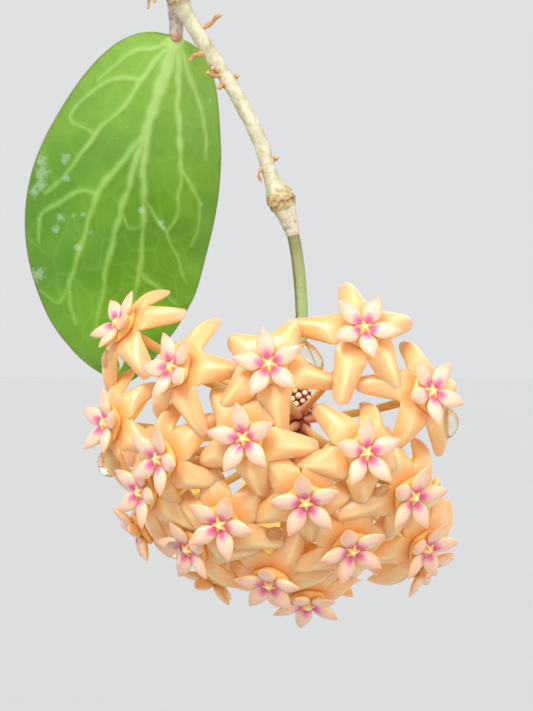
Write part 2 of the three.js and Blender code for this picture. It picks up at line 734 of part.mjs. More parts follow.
// The corona: five plump pointed lobes round a low middle, over the notches between the petals.
function coronaGeometry(flower) {
  const points = [flowerPoint(flower, 0, 0, 1.2), flowerPoint(flower, 0, 0, -CORONA_LIFT + GAP)];
  const faces = [];
  const notches = [];
  for (let k = 0; k < 5; k++) {
    notches.push(points.length);
    points.push(flowerPoint(flower, 1.5, rad(72 * k + 36), 0.1));
  }
  for (let k = 0; k < 5; k++) {
    const angle = rad(72 * k);
    const offset = (radius, side, up) => {
      points.push(flowerPoint(flower, Math.hypot(radius, side), angle + Math.atan2(side, radius), up));
      return points.length - 1;
    };
    const tip = offset(CORONA_RADIUS, 0, 1);
    const [rightIn, rightOut] = [offset(2.5, -1.1, 0.25), offset(4.1, -1.2, 0.45)];
    const [leftIn, leftOut] = [offset(2.5, 1.1, 0.25), offset(4.1, 1.2, 0.45)];
    const [crestIn, crestOut] = [offset(2.5, 0, 0.95), offset(4.1, 0, 1.1)];
    const edge = [notches[(k + 4) % 5], rightIn, rightOut, tip, leftOut, leftIn, notches[k]];
    const crests = [crestIn, crestIn, crestOut, crestOut, crestIn, crestIn];
    for (let i = 0; i < 6; i++) faces.push([edge[i], edge[i + 1], crests[i]], [edge[i + 1], edge[i], 1]);
    faces.push([0, edge[0], crestIn], [edge[6], 0, crestIn]);
    faces.push([rightOut, crestOut, crestIn], [crestIn, crestOut, leftOut]);
  }
  return closedMesh(points, faces);
}

function pedicelGeometry(flower) {
  const base = flower.centre.clone().addScaledVector(flower.axis, -CORONA_LIFT - 0.6);
  const start = RACHIS.clone().add(v3(0, 0, RACHIS_LENGTH * 0.36 * (flower.way.z + 0.15)));
  start.addScaledVector(flower.way, 1);
  const path = new THREE.CubicBezierCurve3(
    start,
    start.clone().addScaledVector(flower.way, FLOWER_REACH * 0.4),
    base.clone().addScaledVector(flower.axis, -FLOWER_REACH * 0.3),
    base,
  );
  return limb(path, (share) => PEDICEL_RADIUS + 0.3 * share ** 6, 3, 3);
}

// The rachis: the knobbly end of the flower stalk from which every pedicel springs.
function rachisGeometry() {
  const top = RACHIS.clone().add(v3(0, 0, RACHIS_TOP));
  const path = new THREE.LineCurve3(top, top.clone().add(v3(0, 0, -RACHIS_LENGTH)));
  return limb(path, (share) => 2.5 - 1.2 * Math.abs(share - 0.45) - 0.5 * share, 8, 5);
}

const flowers = flowerPlaces();
setPetals(flowers);
const umbel = fused([
  rachisGeometry(),
  ...flowers.map(pedicelGeometry),
  ...flowers.map(corollaGeometry),
]);
addNode("umbel", toGeometry(mainBody(umbel)), "petal");
flowers.forEach((flower, i) => {
  addNode("corona_" + String(i + 1).padStart(2, "0"), coronaGeometry(flower), "corona");
});

const peduncle = spline([
  [10.05, -48.75, -259],
  [11, -48.4, -262.5],
  [11.8, -48.2, -268],
  [12.3, -48, -275],
  [12.1, -48, -282],
  [12, -48, RACHIS.z + RACHIS_TOP + GAP],
]);
addNode("peduncle", limb(peduncle, (share) => PEDUNCLE_RADIUS + 0.5 * share ** 8, 7, 10), "peduncle");

addNode("main_vine", toGeometry(fused([vineLimb(mainVine), ...MAIN_ROOTS.map(mainRoot)])), "bark");
addNode("upright_vine", vineLimb(uprightVine), "bark");
addNode("back_vine", vineLimb(backVine), "bark");

// The rest of the leaves.
const LEAVES = {
  arch_left: { vine: mainVine, knot: 0, heading: 188, pitch: 18, droop: 40, length: 56, width: 31, roll: 6 },
  arch_right: { vine: mainVine, knot: 0, heading: 352, pitch: 14, droop: 46, length: 52, width: 29, roll: -8 },
  fall_left: { vine: mainVine, knot: 1, heading: 205, pitch: -8, droop: 42, length: 50, width: 28, roll: 22 },
  fall_right: { vine: mainVine, knot: 1, heading: 335, pitch: -4, droop: 44, length: 52, width: 29, roll: -22 },
  low_left: { vine: uprightVine, knot: 0, heading: 152, pitch: 20, droop: 44, length: 54, width: 30, roll: 4 },
  low_right: { vine: uprightVine, knot: 0, heading: 338, pitch: 30, droop: 46, length: 46, width: 27, roll: -4 },
  high_left: { vine: uprightVine, knot: 1, heading: 238, pitch: 26, droop: 36, length: 44, width: 25, roll: 6 },
  high_right: { vine: uprightVine, knot: 1, heading: 62, pitch: 28, droop: 38, length: 46, width: 26, roll: -4 },
  back_arch_left: { vine: backVine, knot: 0, heading: 112, pitch: 20, droop: 44, length: 50, width: 28, roll: 4 },
  back_arch_right: { vine: backVine, knot: 0, heading: 350, pitch: 16, droop: 46, length: 52, width: 29, roll: -6 },
  back_fall_left: { vine: backVine, knot: 1, heading: 124, pitch: -6, droop: 46, length: 46, width: 26, roll: 16 },
  back_fall_right: { vine: backVine, knot: 1, heading: 352, pitch: -10, droop: 40, length: 44, width: 25, roll: -16 },
};
for (const [name, leaf] of Object.entries(LEAVES)) addNode("leaf_" + name, toGeometry(leafSolid(leaf)), "leaf");
addNode("leaf_beside_flowers", toGeometry(hangingLeafSolid()), "leaf");

// The potting mix: it fills the pot, bark pieces stand out of its top, and the vines stand in plain holes.
function soilSolid() {
  const bottom = CLAY + GAP;
  const top = SOIL_Z - BASE_Z;
  const [wide, narrow] = [potInside(top) - 0.6, potInside(bottom) - 0.6];
  const body = new THREE.CylinderGeometry(wide, narrow, top - bottom, POT_SIDES);
  body.rotateX(Math.PI / 2);
  body.translate(0, 0, BASE_Z + (top + bottom) / 2);
  const draw = seededDraw(7);
  const chips = [];
  for (let i = 0; i < BARK_CHIPS; i++) {
    const angle = i * GOLDEN_ANGLE;
    const radius = 5 + 30 * Math.sqrt((i + 0.5) / BARK_CHIPS);
    const chip = new THREE.BoxGeometry(6 + 5 * draw(), 4 + 3 * draw(), 4);
    chip.rotateX(0.5 * (draw() - 0.5));
    chip.rotateY(0.5 * (draw() - 0.5));
    chip.rotateZ(draw() * 3);
    chip.translate(Math.cos(angle) * radius, Math.sin(angle) * radius, SOIL_Z - 0.6 + draw());
    chips.push(chip);
  }
  let soil = fused([body, ...chips]);
  for (const { path, radius } of [mainVine, uprightVine, backVine]) {
    const [foot, surface] = path.points;
    const hole = new THREE.LineCurve3(foot.clone().lerp(surface, -0.03), foot.clone().lerp(surface, 1.4));
    soil = soil.subtract(toSolid(rod(hole, 2 * (radius + STEM_HOLE_GAP), 8, 1)));
  }
  return mainBody(soil);
}

addNode("pot", toGeometry(potSolid()), "clay");
addNode("potting_mix", toGeometry(soilSolid()), "soil");
addNode("hook", hookGeometry(), "wire");
addNode("ferrule", toGeometry(ferruleSolid()), "wire");
HANGER_ANGLES.forEach((angle, i) => addNode("hanger_wire_" + (i + 1), hangerWire(angle), "wire"));

export default group;
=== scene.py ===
"""Looks of a potted hoya that hangs in a clay pot: flower ball, leaves, vines, pot, potting mix and hanger."""

import math
import random

import bpy
import numpy as np
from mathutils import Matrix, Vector, noise


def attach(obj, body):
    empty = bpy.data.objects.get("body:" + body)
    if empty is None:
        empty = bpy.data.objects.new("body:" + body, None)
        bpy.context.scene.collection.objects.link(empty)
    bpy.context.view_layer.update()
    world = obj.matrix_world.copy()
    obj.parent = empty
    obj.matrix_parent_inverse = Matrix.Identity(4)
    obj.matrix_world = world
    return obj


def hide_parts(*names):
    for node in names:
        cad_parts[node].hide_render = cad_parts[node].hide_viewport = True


bl_info = {
    "name": "Potted hoya",
    "version": (1, 0, 0),
    "blender": (4, 5, 0),
    "location": "3D View > Sidebar > Hoya",
    "description": "Builds the visible pieces of a hanging hoya round its packed frame",
    "category": "Object",
}

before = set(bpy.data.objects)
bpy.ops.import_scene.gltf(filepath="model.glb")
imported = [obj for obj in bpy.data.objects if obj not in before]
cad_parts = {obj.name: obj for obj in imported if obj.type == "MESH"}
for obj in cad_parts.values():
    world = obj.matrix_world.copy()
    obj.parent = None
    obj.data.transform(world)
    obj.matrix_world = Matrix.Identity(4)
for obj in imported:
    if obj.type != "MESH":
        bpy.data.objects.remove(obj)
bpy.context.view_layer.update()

MM = 0.001
GOLDEN_ANGLE = math.radians(137.508)
FIFTH, TENTH = 72, 36  # of a turn, in degrees

# Pot, mix and hanger, in millimetres
RIM_Z = -128.0
BASE_Z = -206.0
SOIL_Z = -145.0
POT_PROFILE = [
    (6, 0), (32.5, 0), (34, 1.5), (45.5, 59), (49.5, 61), (52, 76.8), (50.8, 78), (47.5, 78), (41, 55),
    (30, 4.5), (6, 4.5),
]
WIRE_HOLE_RADIUS = 2.2
WIRE_HOLE_Z = RIM_Z - 8
MIX_RADIUS = 42.0
MIX_FOOT_RADIUS = 29.6
MIX_FOOT_Z = BASE_Z + 4.9
STEM_PLACES = [(-6, -15), (-14, 15), (14, 12)]
CHIP_COUNT = 430
CHIP_REACH = 40.5
CHIP_LIMIT = 42.5
PERLITE_SHARE = 0.09
HANGER_ANGLES = (90, 210, 330)
HOOK_RADIUS = 1.3
HOOK_CURL = 10.3
WIRE_RADIUS = 1.0
WIRE_SPREAD = 2.05
FERRULE_TOP = -30.0
FERRULE_BOTTOM = -42.0
FERRULE_RADIUS = 4.2
FERRULE_LIP = 3.7
CRIMP_RADIUS = 3.75
CRIMPS_Z = (-33.5, -38.5)

# Vines: paths, plain radius, and knots with their radius
KNOT_SPREAD = 2.6
BARK_RING_STEP = 0.33
VINES = {
    "main_vine": {
        "path": [
            (-5, -13, -165), (-6, -15, -145), (-8, -21, -118), (-10, -34, -103), (-12, -50, -101),
            (-14, -64, -113), (-14, -69, -137), (-13, -67, -163), (-12, -62, -188), (-11, -55, -208),
            (-10, -51, -218.5), (-6, -50.2, -226), (-0.6, -50, -234.4), (4.3, -49.6, -243.4),
            (7, -49.2, -251.5), (8.8, -49, -255.6), (9.9, -48.8, -258.6),
        ],
        "radius": 1.35,
        "knots": [
            ((-10, -34, -103), 2.1), ((-13, -67, -163), 2.1), ((-10, -51, -218.5), 2.1), ((8.6, -49, -255.1), 2.5),
        ],
    },
    "upright_vine": {
        "path": [(-13, 13, -163), (-14, 15, -145), (-18, 20, -120), (-22, 25, -95), (-23, 27, -72)],
        "radius": 1.2,
        "knots": [((-19, 21, -112), 1.8), ((-22.5, 26, -88), 1.8)],
    },
    "back_vine": {
        "path": [
            (13, 10, -163), (14, 12, -145), (20, 18, -119), (32, 27, -107), (46, 38, -109), (55, 46, -125),
            (57, 48, -146), (56, 48, -163),
        ],
        "radius": 1.2,
        "knots": [((32, 27, -107), 1.8), ((57, 48, -143), 1.8)],
    },
}

# Aerial roots of the main vine: the height at which each starts, its next points from there, and its thickness
ROOTS = [
    (-225.2, [(1.3, -0.4, 0.6), (2.7, -0.8, 1.4), (3.6, -1, 2.4), (4.4, -1, 2.8)], 0.42, 0.34),
    (-228.8, [(-1.5, -0.8, -0.5), (-2.6, -1.2, -0.8), (-3.4, -1.4, -1.6)], 0.6, 0.34),
    (-233.2, [(-1.4, -0.8, 0.2), (-2.3, -1, 0.2), (-3.1, -1.2, 0.6)], 0.56, 0.4),
    (-233.0, [(-1.3, -1.1, 0.7), (-2.2, -1.5, 1.2)], 0.36, 0.3),
    (-234.4, [(-1.2, -0.6, -0.4), (-1.8, -0.8, -0.8)], 0.7, 0.45),
    (-233.9, [(1.1, -0.3, 0.5), (1.7, -0.4, 0.9)], 0.5, 0.36),
    (-248.8, [(1, -0.2, 0.7), (1.8, -0.4, 1.3)], 0.5, 0.38),
    (-249.2, [(-1.1, -0.7, -0.6), (-1.6, -0.9, -1.8), (-1.1, -1, -2.9)], 0.3, 0.24),
    (-218.2, [(-2, -1, 0.6), (-3.8, -1.6, 0.2), (-4.7, -1.7, -1.4), (-5, -1.7, -3.2)], 0.5, 0.26),
    (-218.4, [(-2.4, -1, 0.3), (-3.4, -1.6, -0.4), (-3.9, -1.8, -1.8)], 0.4, 0.26),
    (-150, [(-2.4, 0, -1), (-3, 0.6, -4)], 0.5, 0.3),
    (-182, [(2.2, -0.6, -1), (3, -1, -4)], 0.5, 0.3),
]

# Leaves: vine, knot, heading, pitch, droop and roll in degrees, length and width
STALK_LENGTH = 8.5
LEAVES = {
    "leaf_arch_left": ("main_vine", 0, 188, 18, 40, 6, 56, 31),
    "leaf_arch_right": ("main_vine", 0, 352, 14, 46, -8, 52, 29),
    "leaf_fall_left": ("main_vine", 1, 205, -8, 42, 22, 50, 28),
    "leaf_fall_right": ("main_vine", 1, 335, -4, 44, -22, 52, 29),
    "leaf_low_left": ("upright_vine", 0, 152, 20, 44, 4, 54, 30),
    "leaf_low_right": ("upright_vine", 0, 338, 30, 46, -4, 46, 27),
    "leaf_high_left": ("upright_vine", 1, 238, 26, 36, 6, 44, 25),
    "leaf_high_right": ("upright_vine", 1, 62, 28, 38, -4, 46, 26),
    "leaf_back_arch_left": ("back_vine", 0, 112, 20, 44, 4, 50, 28),
    "leaf_back_arch_right": ("back_vine", 0, 350, 16, 46, -6, 52, 29),
    "leaf_back_fall_left": ("back_vine", 1, 124, -6, 46, 16, 46, 26),
    "leaf_back_fall_right": ("back_vine", 1, 352, -10, 40, -16, 44, 25),
}
HANGING_MIDRIB = [
    (-10.4, -47.5, -225.6), (-17, -43, -242), (-20.8, -39, -258.5), (-21.8, -36, -272), (-21.2, -34.6, -280),
    (-19.8, -33.5, -288),
]
HANGING_STALK = [(-10.1, -49.8, -218.6), (-10.2, -48, -219.4), (-10.2, -47, -222.5), (-10.5, -47, -226.3)]
HANGING_WIDTH = 35.0
HANGING_GRID, LEAF_GRID = (240, 136), (92, 48)  # rows and columns of a blade
HANGING_CUP, LEAF_CUP = 6, 9  # how deep a blade is cupped

# Flower ball
RACHIS = np.array([12.0, -48.0, -292.0])
FLOWER_REACH = 37.0
FLOWER_SPACING = math.radians(25.5)
DOME_AXIS = np.array([-0.15, -0.85, -0.5]) / math.sqrt(0.15**2 + 0.85**2 + 0.5**2)
DOME_HALF_ANGLE = math.radians(104)
SPIRAL_PLACES = 200
LOWEST_Y, HIGHEST_Z, HIGHEST_X = -0.12, -0.1, 0.62  # of the ways to the guessed flowers
GUESSED_TURN = 47
BACK_LEAN = np.array([0, -0.15, 0.12])
PETAL_LENGTH = 13.4
PETAL_FLAT = 4.2
CORONA_LIFT = 1.25
CORONA_RADIUS = 6.0
LOBE_START = 0.9
LOBE_WIDEST = 0.42
LOBE_HALF_WIDTH = 1.56
LOBE_RISE, LOBE_DEPTH = 0.8, 0.84
REFLEX_CHOICES = (70, 56, 86, 102, 44)
SWAY_CHOICES = (0, 10, -10)
ENOUGH_CLEARANCE = 5.4
BETTER_BY = 0.2
RACHIS_TOP = 3.4
RACHIS_LENGTH = 9.0
KNOBS = 78
PEDICEL_FOOT_Z, PEDICEL_SPREAD_Z = -3.4, 3.24  # from the rachis's point, and for a flower that lies higher
PEDICEL_PULLS = (14.8, 11.1)  # how far a pedicel keeps the flower's way at its foot, and its axis at its top
FRONT_EYE = np.array([6.0, -498.0, -283.0])
FRONT_FLOWERS = [  # right and up from the rachis, angle of one lobe in degrees, lean of the axis right and up
    (-32.6, 14.6, 53, -0.75, 0.52), (-22.9, 6.7, 95, -0.7, 0.28), (-5.6, 7.2, 99, -0.1, 0.25),
    (11.5, 13.7, 62, 0.17, 0.43), (23.5, 2.3, 60, 0.58, 0.24), (-34.9, -3.4, 82, -0.83, 0.12),
    (-25.4, -9.8, 284, -0.72, -0.13), (-10.1, -6.1, 97, -0.31, -0.02), (11.8, -8.7, 164, 0.38, 0.02),
    (20.3, -16.6, 76, 0.57, -0.31), (-28.6, -15.7, 285, -0.79, -0.16), (-14.3, -21.5, 141, -0.3, -0.32),
    (1.0, -17.5, 172, 0.03, -0.42), (-20.0, -25.8, 261, -0.65, -0.47), (9.3, -26.1, 187, 0.29, -0.54),
    (22.7, -25.8, 20, 0.62, -0.5), (-5.5, -32.1, 162, -0.22, -0.73), (1.4, -35.8, 344, 0.03, -0.85),
]
SEEN_BENDS = {  # petals seen well from the front, by flower and petal: degrees bent back and leant sideways
    (2, 3): (106, 6), (2, 4): (78, 8), (3, 0): (90, 4), (3, 2): (66, -2), (3, 4): (82, 2), (4, 0): (62, -2),
    (4, 1): (58, -6), (4, 3): (58, -10), (5, 0): (78, -4), (5, 1): (62, 8), (5, 2): (104, 16), (8, 3): (66, 2),
    (9, 4): (86, -2), (14, 0): (62, 8), (15, 0): (62, 2), (16, 0): (102, 0), (18, 0): (104, 0),
}
PEDUNCLE = [
    (10.05, -48.75, -259), (11, -48.4, -262.5), (11.8, -48.2, -268), (12.3, -48, -275), (12.1, -48, -282),
    (12, -48, -288.3),
]
SHEATH_START = (9.3, -48.9, -256.9)
SHEATH_LENGTH = 4.9


def unit(vector):
    return vector / np.linalg.norm(vector)


def smooth(value, low, high):
    """0 below low, 1 above high, with a soft step between."""
    share = np.clip((value - low) / (high - low), 0, 1)
    return share * share * (3 - 2 * share)


def turned(vector, axis, angle):
    """vector turned about a unit axis."""
    return (
        vector * math.cos(angle)
        + np.cross(axis, vector) * math.sin(angle)
        + axis * np.dot(axis, vector) * (1 - math.cos(angle))
    )


def round_angles(count):
    """Evenly spaced angles round a ring."""
    return np.linspace(0, 2 * math.pi, count, endpoint=False)


def noise_grid(rows, columns, place):
    """Smooth noise from -1 to 1 at the place that each row and column give."""
    return np.array([[noise.noise(Vector(place(row, column))) for column in columns] for row in rows])


def skin_faces(rings, sides, turned_over=False):
    """Faces of rings of points joined in order, and closed by one middle point at each end."""
    faces = []
    for r in range(rings - 1):
        for s in range(sides):
            n = (s + 1) % sides
            faces.append((r * sides + s, r * sides + n, (r + 1) * sides + n, (r + 1) * sides + s))
    start, end, last = rings * sides, rings * sides + 1, (rings - 1) * sides
    for s in range(sides):
        n = (s + 1) % sides
        faces += [(start, n, s), (end, last + s, last + n)]
    if turned_over:
        faces = [(face[0], *face[:0:-1]) for face in faces]
    return faces


class Path:
    """A smooth curve through points, read by the share of its length."""

    SPAN_STEPS = 60
    NUDGE = 0.004
    PLACES = 401

    def __init__(self, points):
        points = [np.array(p, float) for p in points]
        before = 2 * points[0] - points[1]
        after = 2 * points[-1] - points[-2]
        chain = [before, *points, after]
        shares = np.linspace(0, 1, self.SPAN_STEPS, endpoint=False)
        line = []
        for i in range(1, len(points)):
            line.append(self.span(*chain[i - 1 : i + 3], shares))
        self.line = np.vstack([*line, points[-1:]])
        steps = np.linalg.norm(np.diff(self.line, axis=0), axis=1)
        self.travel = np.concatenate([[0], np.cumsum(steps)])
        self.length = self.travel[-1]

    @staticmethod
    def span(p0, p1, p2, p3, shares):
        """One span of a centripetal Catmull-Rom curve."""
        d0, d1, d2 = (max(1e-4, np.linalg.norm(b - a)) ** 0.5 for a, b in ((p0, p1), (p1, p2), (p2, p3)))
        t1 = ((p1 - p0) / d0 - (p2 - p0) / (d0 + d1) + (p2 - p1) / d1) * d1
        t2 = ((p2 - p1) / d1 - (p3 - p1) / (d1 + d2) + (p3 - p2) / d2) * d1
        s = shares[:, None]
        return p1 + t1 * s + (3 * (p2 - p1) - 2 * t1 - t2) * s**2 + (2 * (p1 - p2) + t1 + t2) * s**3

    def at(self, shares):
        """Points at shares of the length."""
        want = np.asarray(shares) * self.length
        return np.stack([np.interp(want, self.travel, self.line[:, i]) for i in range(3)], axis=-1)

    def along(self, shares):
        """Unit tangents at shares of the length."""
        shares = np.asarray(shares, float)
        ahead, behind = np.clip(shares + self.NUDGE, 0, 1), np.clip(shares - self.NUDGE, 0, 1)
        way = self.at(ahead) - self.at(behind)
        return way / np.linalg.norm(way, axis=-1, keepdims=True)

    def share_near(self, point):
        shares = np.linspace(0, 1, self.PLACES)
        return shares[np.argmin(np.linalg.norm(self.at(shares) - np.array(point, float), axis=1))]


def ring_frames(points):
    """Two unit vectors square to the line at each of its points, carried along it without twist."""
    ways = np.gradient(points, axis=0)
    ways /= np.linalg.norm(ways, axis=1, keepdims=True)
    sides = [unit(np.cross(ways[0], [0.3, 1, 0.2]))]
    for way in ways[1:]:
        sides.append(unit(sides[-1] - way * np.dot(sides[-1], way)))
    sides = np.array(sides)
    return sides, np.cross(ways, sides)


class Shape:
    """Vertices, faces and per-vertex values of a piece, in millimetres, put together part by part."""

    def __init__(self):
        self.points = []
        self.faces = []
        self.values = {}
        self.count = 0

    def add(self, points, faces, **values):
        points = np.asarray(points, float).reshape(-1, 3)
        for name in set(self.values) | set(values):
            column = self.values.setdefault(name, [np.zeros(self.count)] if self.count else [])
            column.append(np.broadcast_to(values.get(name, 0.0), (len(points),)).astype(float))
        self.points.append(points)
        self.faces += [tuple(int(i) + self.count for i in face) for face in faces]
        self.count += len(points)

    def tube(self, line, radii, sides, **values):
        """A closed round limb along a line. radii is one number, one to a ring, or one to a vertex."""
        line = np.asarray(line, float)
        rings = len(line)
        radii = np.asarray(radii, float)
        if radii.ndim < 2:
            radii = np.broadcast_to(radii.reshape(-1, 1), (rings, sides))
        side, up = ring_frames(line)
        angles = round_angles(sides)
        out = side[:, None] * np.cos(angles)[None, :, None] + up[:, None] * np.sin(angles)[None, :, None]
        skin = line[:, None] + out * radii[..., None]
        points = np.vstack([skin.reshape(-1, 3), line[:1], line[-1:]])
        spread = {}
        for name, value in values.items():
            value = np.asarray(value, float)
            if value.ndim == 1 and len(value) == rings:
                value = np.repeat(value, sides)
            if value.ndim == 2:
                value = value.reshape(-1)
            if value.ndim:
                value = np.concatenate([value, [value[:sides].mean(), value[-sides:].mean()]])
            spread[name] = value
        self.add(points, skin_faces(rings, sides), **spread)

    def mesh(self, name):
        mesh = bpy.data.meshes.new(name)
        mesh.from_pydata((np.vstack(self.points) * MM).tolist(), [], self.faces)
        for key, parts in self.values.items():
            mesh.attributes.new(key, "FLOAT", "POINT").data.foreach_set("value", np.concatenate(parts))
        mesh.polygons.foreach_set("use_smooth", [True] * len(mesh.polygons))
        mesh.update()
        return mesh


def rounded_ends(line, radii, blunt=0.5):
    """A line and radii whose two ends are drawn in to a round cap."""
    line, radii = np.asarray(line, float), np.asarray(radii, float)
    way0, way1 = unit(line[0] - line[1]), unit(line[-1] - line[-2])
    caps = np.radians([75, 50, 25])
    starts = [line[0] + way0 * radii[0] * blunt * math.sin(a) for a in caps]
    ends = [line[-1] + way1 * radii[-1] * blunt * math.sin(a) for a in caps[::-1]]
    shrink = np.cos(caps)
    return (
        np.vstack([starts, line, ends]),
        np.concatenate([radii[0] * shrink, radii, radii[-1] * shrink[::-1]]),
    )


def make_piece(name, mesh, slot, material, *replaced):
    """A finished piece: an object of its own that rides on the one body and stands for its CAD nodes."""
    piece = bpy.data.objects.new(name, mesh)
    bpy.context.scene.collection.objects.link(piece)
    mesh.materials.append(material)
    settle(piece, slot, *replaced)
    return piece


def settle(piece, slot, *replaced):
    """Says what a piece rides on and which CAD nodes it stands for. Its slot is not used."""
    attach(piece, "root")
    if replaced:
        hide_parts(*replaced)


def only_select(piece):
    bpy.ops.object.select_all(action="DESELECT")
    piece.select_set(True)
    bpy.context.view_layer.objects.active = piece


def finish_with(piece, kind, **settings):
    """Adds a modifier to a piece and applies it."""
    only_select(piece)
    modifier = piece.modifiers.new(kind, kind)
    for key, value in settings.items():
        setattr(modifier, key, value)
    bpy.ops.object.modifier_apply(modifier=modifier.name)


def paint(red, green, blue):
    """A screen colour, 0 to 255, as the linear colour that the shader takes."""
    return (*(((c / 255 + 0.055) / 1.055) ** 2.4 if c > 10 else c / 3294.6 for c in (red, green, blue)), 1.0)


class Value:
    """A socket of a material, with maths that adds the nodes it needs."""

    def __init__(self, finish, socket):
        self.finish, self.socket = finish, socket

    def maths(self, operation, *values):
        return self.finish.node("Math", {"operation": operation}, dict(enumerate(values)))

    def __add__(self, other):
        return self.maths("ADD", self, other)

    def __sub__(self, other):
        return self.maths("SUBTRACT", self, other)

    def __rsub__(self, other):
        return self.maths("SUBTRACT", other, self)

    def __mul__(self, other):
        return self.maths("MULTIPLY", self, other)

    def clipped(self):
        return self.maths("MINIMUM", self.maths("MAXIMUM", self, 0), 1)

    __radd__ = __add__
    __rmul__ = __mul__


class Finish:
    """A material under construction. Its patterns are in millimetres of the object."""

    def __init__(self, name, **constants):
        self.material = bpy.data.materials.new(name)
        self.material.use_nodes = True
        self.tree = self.material.node_tree
        self.shader = self.tree.nodes["Principled BSDF"]
        for key, value in constants.items():
            self.shader.inputs[key.replace("_", " ")].default_value = value
        place = self.node("TexCoord", out="Object")
        self.place = self.node("VectorMath", {"operation": "SCALE"}, {0: place, "Scale": 1 / MM})

    def node(self, kind, settings=None, sockets=None, out=0):
        """A node of a type, with its settings first and then the values or links of its sockets."""
        made = self.tree.nodes.new("ShaderNode" + kind)
        for key, value in (settings or {}).items():
            if key == "stops":
                ramp = made.color_ramp.elements
                while len(ramp) < len(value):
                    ramp.new(0.5)
                for stop, (at, colour) in zip(ramp, value):
                    stop.position, stop.color = at, colour
            else:
                setattr(made, key, value)
        for key, value in (sockets or {}).items():
            if isinstance(value, Value):
                self.tree.links.new(value.socket, made.inputs[key])
            else:
                made.inputs[key].default_value = value
        return Value(self, made.outputs[out])

    def attribute(self, name):
        return self.node("Attribute", {"attribute_name": name}, out="Fac")

    def noise(self, size, detail=3.0, rough=0.5, stretch=(1, 1, 1)):
        """Soft noise whose patches are about size across, from 0 to 1."""
        place = self.place
        if stretch != (1, 1, 1):
            place = self.node("VectorMath", {"operation": "MULTIPLY"}, {0: place, 1: stretch})
        sockets = {"Vector": place, "Scale": 1 / size, "Detail": detail, "Roughness": rough}
        return self.node("TexNoise", sockets=sockets, out="Fac")

    def cells(self, size):
        """Distance to the nearest of points set about size apart."""
        return self.node("TexVoronoi", sockets={"Vector": self.place, "Scale": 1 / size}, out="Distance")

    def step(self, value, low, high):
        """0 where value is below low, 1 above high, soft between."""
        sockets = {"Value": value, "From Min": low, "From Max": high}
        return self.node("MapRange", {"interpolation_type": "SMOOTHSTEP"}, sockets)

    def ramp(self, value, *stops):
        return self.node("ValToRGB", {"stops": stops}, {"Fac": value}, out="Color")

    def mix(self, factor, first, second):
        return self.node("Mix", {"data_type": "RGBA"}, {0: factor, 6: first, 7: second}, out=2)

    def feed(self, name, value):
        self.tree.links.new(value.socket, self.shader.inputs[name])

    def finished(self, colour, roughness, *layers):
        """The material, with its colour, its roughness and bump layers: a height from 0 to 1 and a depth in mm."""
        self.feed("Base Color", colour)
        self.feed("Roughness", roughness)
        normal = {}
        for height, depth in layers:
            sockets = {"Height": height, "Distance": depth * MM, "Strength": 1.0, **normal}
            normal = {"Normal": self.node("Bump", sockets=sockets, out="Normal")}
        for name, value in normal.items():
            self.feed(name, value)
        return self.material


def petal_finish(look):
    """Waxy apricot, a little pink at the tips, with a painted highlight that is paler along each petal's crest and
    painted shade that is deeper towards the middle and on the flanks.
    """
    f = Finish(
        "petal_wax", Subsurface_Weight=0.6, Subsurface_Scale=0.003, Subsurface_Radius=(1.0, 0.6, 0.3),
        Specular_IOR_Level=0.5, Coat_Weight=0.6, Coat_Roughness=0.28,
    )
    along, edge, under = f.attribute("along"), f.attribute("edge"), f.attribute("under")
    cloud = f.noise(5.0, 2.0)
    # Painted shade: deeper orange near the middle of the flower, under the crown, fading out by 0.42 of the way along.
    colour = f.ramp(
        along, (0.0, paint(252, 168, 92)), (0.24, paint(252, 176, 104)), (0.42, tuple(look.petal_base)),
        (0.72, tuple(look.petal_base)), (1.0, tuple(look.petal_tip)),
    )
    colour = f.mix(f.step(cloud, 0.42, 0.72) * 0.5, colour, paint(252, 174, 112))
    # Painted shade: deeper orange on the flanks of each petal near the sinuses.
    colour = f.mix(f.step(edge, 0.55, 1.0) * f.step(along, 0.3, 0.6) * 0.35, colour, paint(253, 180, 102))
    # Painted highlight: a pale stripe along each petal's crest, patchy along its length.
    crest = (1 - f.step(edge, 0.02, 0.28)) * f.step(along, 0.3, 0.5) * (1 - f.step(along, 0.86, 1.02))
    colour = f.mix(crest * (0.3 + f.noise(2.2) * 0.6), colour, paint(255, 218, 162))
    colour = f.mix(under * 0.8, colour, paint(255, 208, 104))
    return f.finished(colour, 0.36 + f.noise(1.2) * 0.16, (f.noise(0.5, 2.0), 0.03), (f.noise(2.4, 1.0), 0.1))


